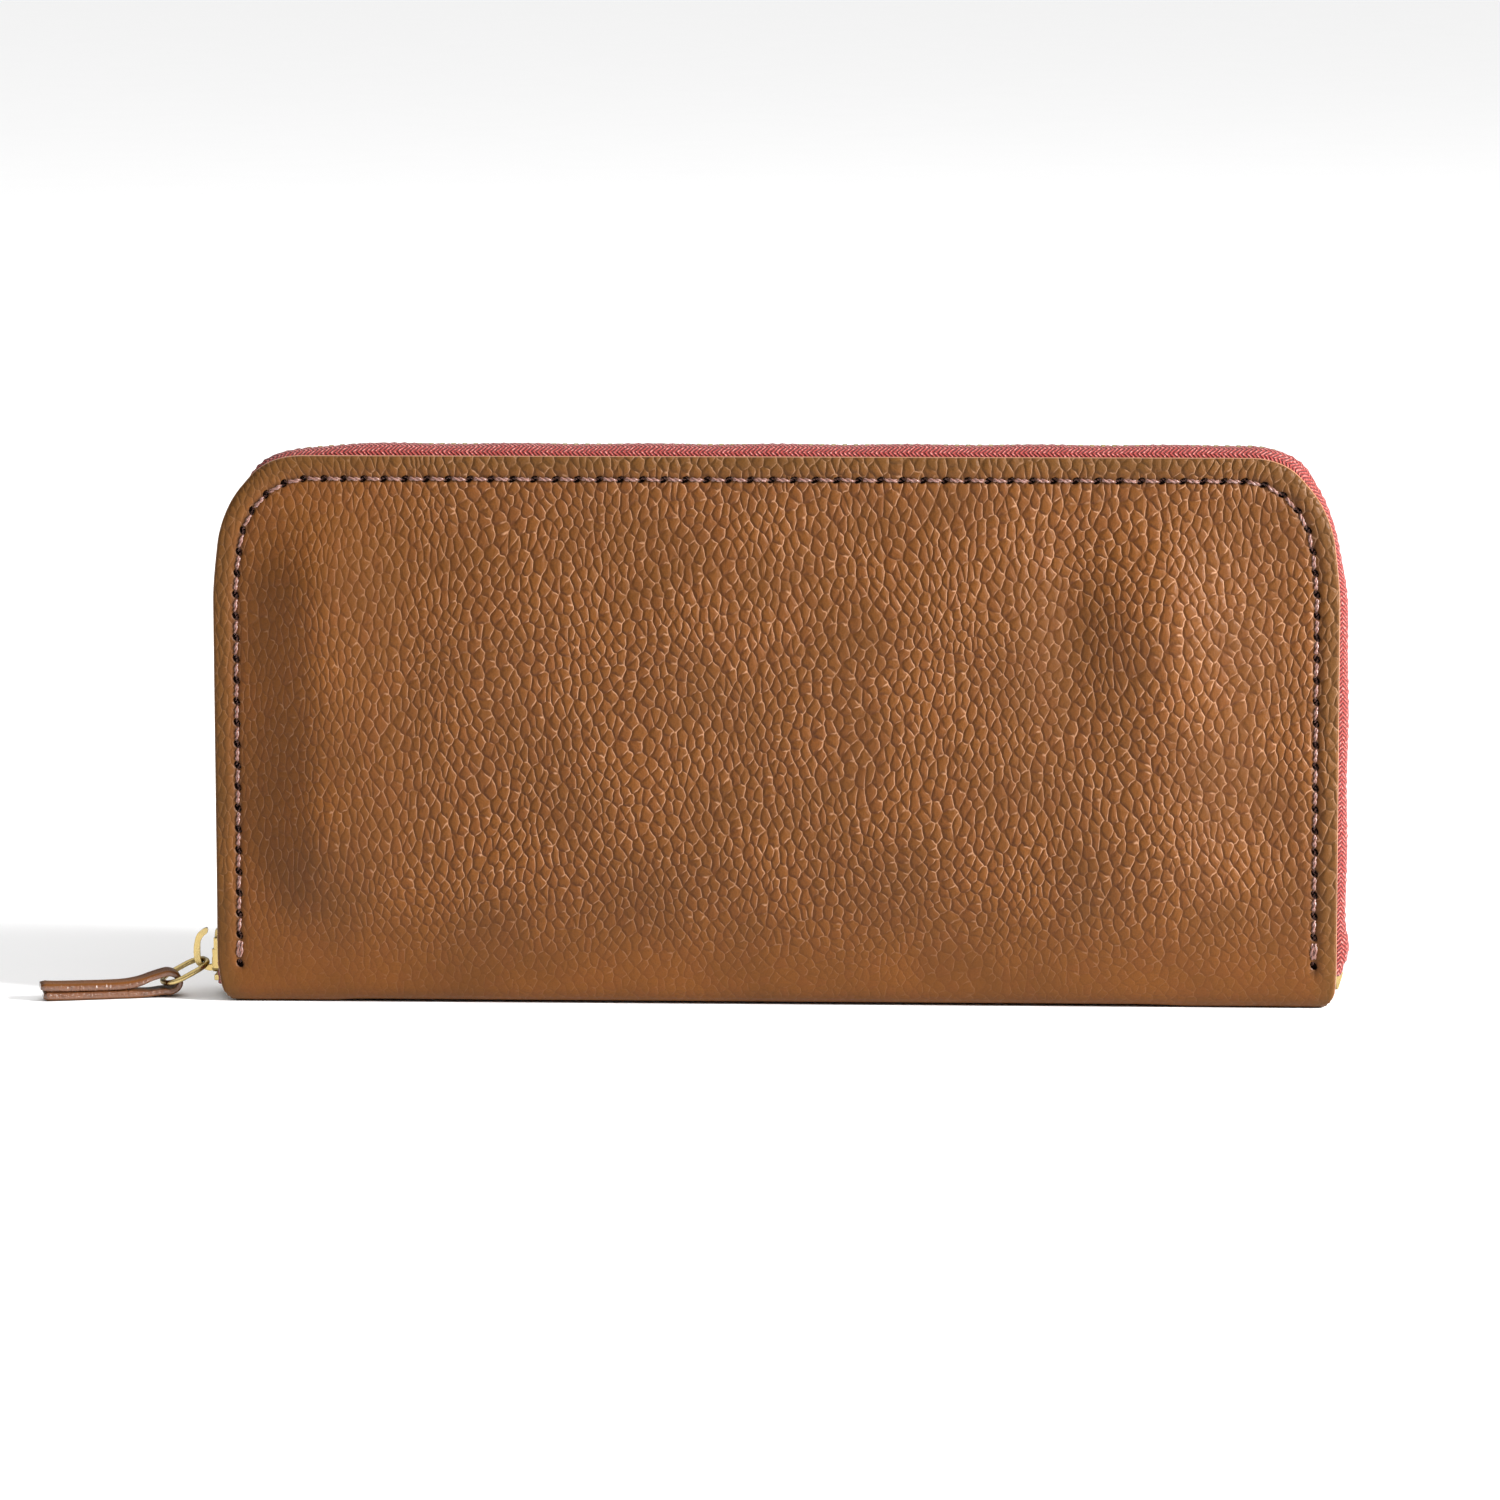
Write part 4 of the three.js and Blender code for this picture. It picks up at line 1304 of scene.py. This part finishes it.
def coin_tape(name, mirror, *replaced):
    low, high = box_mm("coin_tape_front")
    middle = (low[2] + high[2]) / 2
    line = [(low[1] + 0.05, middle - 0.15), (-2.4, middle + 0.05), (-2.0, middle), (high[1], middle)]
    section = curve_through(line, 3)
    stations = np.linspace(low[0], high[0], 170)
    points, flat = [], []
    for x in stations:
        ripple = 0.04 * math.sin(x * math.pi)
        ring = [(y, z + 0.2 + ripple) for y, z in section] + [(y, z - 0.2 + ripple) for y, z in section[::-1]]
        points.extend((x, y, z) for y, z in ring)
        flat.extend((x, y) for y, z in ring)
    shape = Shape()
    shape.add_rings(points, 2 * len(section), flat)
    piece = shape.make(name, (zip_cloth,), mirror)
    return settle(piece, "spine", "zip_tape", *replaced)


def coin_teeth(name, mirror, first, *replaced):
    low, high = box_mm("coin_teeth_front")
    shape = Shape()
    scale = 0.5
    for x in np.arange(low[0] + 0.6 + first, high[0] - 0.5, 1.5):
        tooth(shape, lambda a, y, n, x=x: (x + a, -y, low[2] + 0.6 + (n - 0.9) * 0.62), scale)
    piece = shape.make(name, (tooth_gold,), mirror)
    return settle(piece, "spine", "gold_metal", *replaced)


def coin_slider():
    low, high = box_mm("coin_slider_body")
    teeth_low, teeth_high = box_mm("coin_teeth_front")
    tape_low, tape_high = box_mm("coin_tape_front")
    gap = 0.3
    top, bottom = teeth_high[2] + gap, teeth_low[2] - gap
    half = high[1]
    shape = Shape()

    plate = rounded_outline((low[0], -half), (high[0], half), 0.9)
    prism(shape, plate, top, top + PLATE, lying)
    prism(shape, plate, bottom - PLATE, bottom, lying)
    for side in (-1, 1):
        y0, y1 = sorted((side * (half - 0.45), side * half * 0.98))
        rail = rounded_outline((low[0] + 0.9, y0), (high[0] - 0.9, y1), 0.1, 2)
        prism(shape, rail, tape_high[2] + 0.25, top + 0.2, lying)
        prism(shape, rail, bottom - 0.2, tape_low[2] - 0.25, lying)
        lug = rounded_outline((low[0] + 1, top + 0.3), (low[0] + 3, high[2]), 0.5)
        y0, y1 = sorted((side * 0.9, side * 1.4))
        prism(shape, lug, y0, y1, upright)
    tube(shape, [(low[0] + 2, y, high[2] - 0.55) for y in np.linspace(-1.3, 1.3, 5)], 0.22, 10)
    piece = bevel(shape.make("coin_slider_casting", (gold,)), 0.1)
    return settle(piece, "coin_slider", "gold_metal", "coin_slider_body")


def coin_pull():
    low, high = box_mm("coin_pull")
    shape = Shape()
    length = high[0] - low[0]
    half = high[1]
    outline = []
    for a, b in arc((0, 0), (1, 1), 0, 350, 36):
        x = low[0] + length * (0.5 + 0.5 * a)
        y = b * half * (0.72 + 0.28 * smoothstep(x, low[0] + 1, high[0] - 2))
        outline.append((x, np.sign(b) * min(abs(y) * 1.6, half * (0.75 + 0.25 * (x > low[0] + 3)))))
    prism(shape, outline, low[2], high[2], lying)
    piece = bevel(shape.make("coin_pull_blade", (gold,)), 0.15)
    return settle(piece, "coin_pull", "gold_metal", "coin_pull")


# ---------------------------------------------------------------- putting the wallet together

skin("front_skin", "front_half", False, "front_cover", "spine_leather")
skin("back_skin", "back_half", True, "back_cover")
for half_name, mirrored, first_tooth in (("front", False, 0.0), ("back", True, 1.0)):
    body = f"{half_name}_half"
    stitching(f"{half_name}_stitching", body, mirrored)
    zip_tape(f"{half_name}_zip_tape", body, mirrored, f"{half_name}_tape")
    zip_teeth(f"{half_name}_zip_teeth", body, mirrored, first_tooth, f"{half_name}_teeth")
    stop_low, stop_high = box_mm(f"{half_name}_top_stop")
    clamp(f"{half_name}_top_clamp", stop_low, stop_high, body, f"{half_name}_top_stop")
    lining_panel(f"{half_name}_lining_cloth", body, mirrored, f"{half_name}_lining")
    for level in range(3):
        node = f"{half_name}_card_slot_{level + 1}"
        card_panel(level, f"{half_name}_card_panel_{level + 1}", body, mirrored, node)
    for side_name, side in (("left", -1), ("right", 1)):
        node = f"{half_name}_gusset_{side_name}"
        gusset(side, f"{half_name}_pleat_{side_name}", body, mirrored, node)
stop_low, stop_high = box_mm("bottom_stop")
clamp("bottom_clamp", stop_low, stop_high + (0, 0, 0.6), "spine", "bottom_stop", slant=0.9)
spine_cloth()
slider()
pull_ring()
pull_tab()
coin_pocket()
for half_name, mirrored, first_tooth in (("front", False, 0.0), ("back", True, 0.75)):
    coin_tape(f"coin_zip_tape_{half_name}", mirrored, f"coin_tape_{half_name}")
    coin_teeth(f"coin_zip_teeth_{half_name}", mirrored, first_tooth, f"coin_teeth_{half_name}")
for side_name in ("left", "right"):
    node = f"coin_stop_{side_name}"
    clamp(f"coin_clamp_{side_name}", *box_mm(node), "spine", node)
coin_slider()
coin_pull()


# ---------------------------------------------------------------- floor, lights and camera


def stage_look():
    look = Look("pale_paper", 0.9, specular=0.1)
    tone = look.noise(look.place(), 0.02, 2.0)
    look.set("Base Color", look.colours(tone, rgb(250, 250, 250), rgb(252, 252, 252)))
    return look.material


def floor():
    radius = 9000.0
    shape = Shape()
    outline = arc((0, 0), radius, 0, 357.5, 144)
    prism(shape, outline, -20.0, 0.0, lying)
    piece = shape.make("floor", (stage_look(),))
    piece.data.polygons.foreach_set("use_smooth", [False] * len(piece.data.polygons))


def softbox(name, place, target, size, watts):
    light = bpy.data.lights.new(name, "AREA")
    light.shape = "RECTANGLE"
    light.size, light.size_y = (edge * MM for edge in size)
    light.energy = watts
    lamp = bpy.data.objects.new(name, light)
    lamp.location = Vector(place) * MM
    aim = Vector(target) - Vector(place)
    lamp.rotation_euler = aim.to_track_quat("-Z", "Y").to_euler()
    bpy.context.scene.collection.objects.link(lamp)


def camera():
    azimuth, elevation, distance = math.radians(3.0), math.radians(7.95), 1200.0
    aim = Vector((-4.3, -EDGE, 46.2))
    roll = math.radians(-0.12)
    scale = 5.623  # image points for each millimetre at the aim, in a picture 1500 wide
    level = math.cos(elevation)
    back = Vector((math.sin(azimuth) * level, -math.cos(azimuth) * level, math.sin(elevation)))
    data = bpy.data.cameras.new("camera")
    data.sensor_width = 36.0
    data.lens = scale * distance / 1500 * data.sensor_width
    data.clip_start = 0.01
    data.clip_end = 100.0
    made = bpy.data.objects.new("camera", data)
    made.location = (aim + back * distance) * MM
    facing = (-back).to_track_quat("-Z", "Y").to_matrix()
    made.rotation_euler = (facing @ Matrix.Rotation(roll, 3, "Z")).to_euler()
    bpy.context.scene.collection.objects.link(made)
    bpy.context.scene.camera = made


def world():
    """A white studio ceiling: bright overhead and dim towards the horizon."""
    made = bpy.data.worlds.new("studio")
    made.use_nodes = True
    nodes, links = made.node_tree.nodes, made.node_tree.links
    where = nodes.new("ShaderNodeTexCoord")
    parts = nodes.new("ShaderNodeSeparateXYZ")
    fade = nodes.new("ShaderNodeMapRange")
    fade.interpolation_type = "SMOOTHSTEP"
    for name, value in (("From Min", 0.15), ("From Max", 0.8), ("To Min", 0.12), ("To Max", 1.2)):
        fade.inputs[name].default_value = value
    links.new(where.outputs["Generated"], parts.inputs[0])
    links.new(parts.outputs["Z"], fade.inputs["Value"])
    links.new(fade.outputs[0], nodes["Background"].inputs["Strength"])
    nodes["Background"].inputs["Color"].default_value = (1.0, 1.0, 1.0, 1.0)
    bpy.context.scene.world = made


floor()
world()
softbox("key", (1700, -620, 760), (0, 0, TOP / 2), (420, 420), 120.0)
camera()
bpy.context.scene.view_settings.view_transform = "Standard"
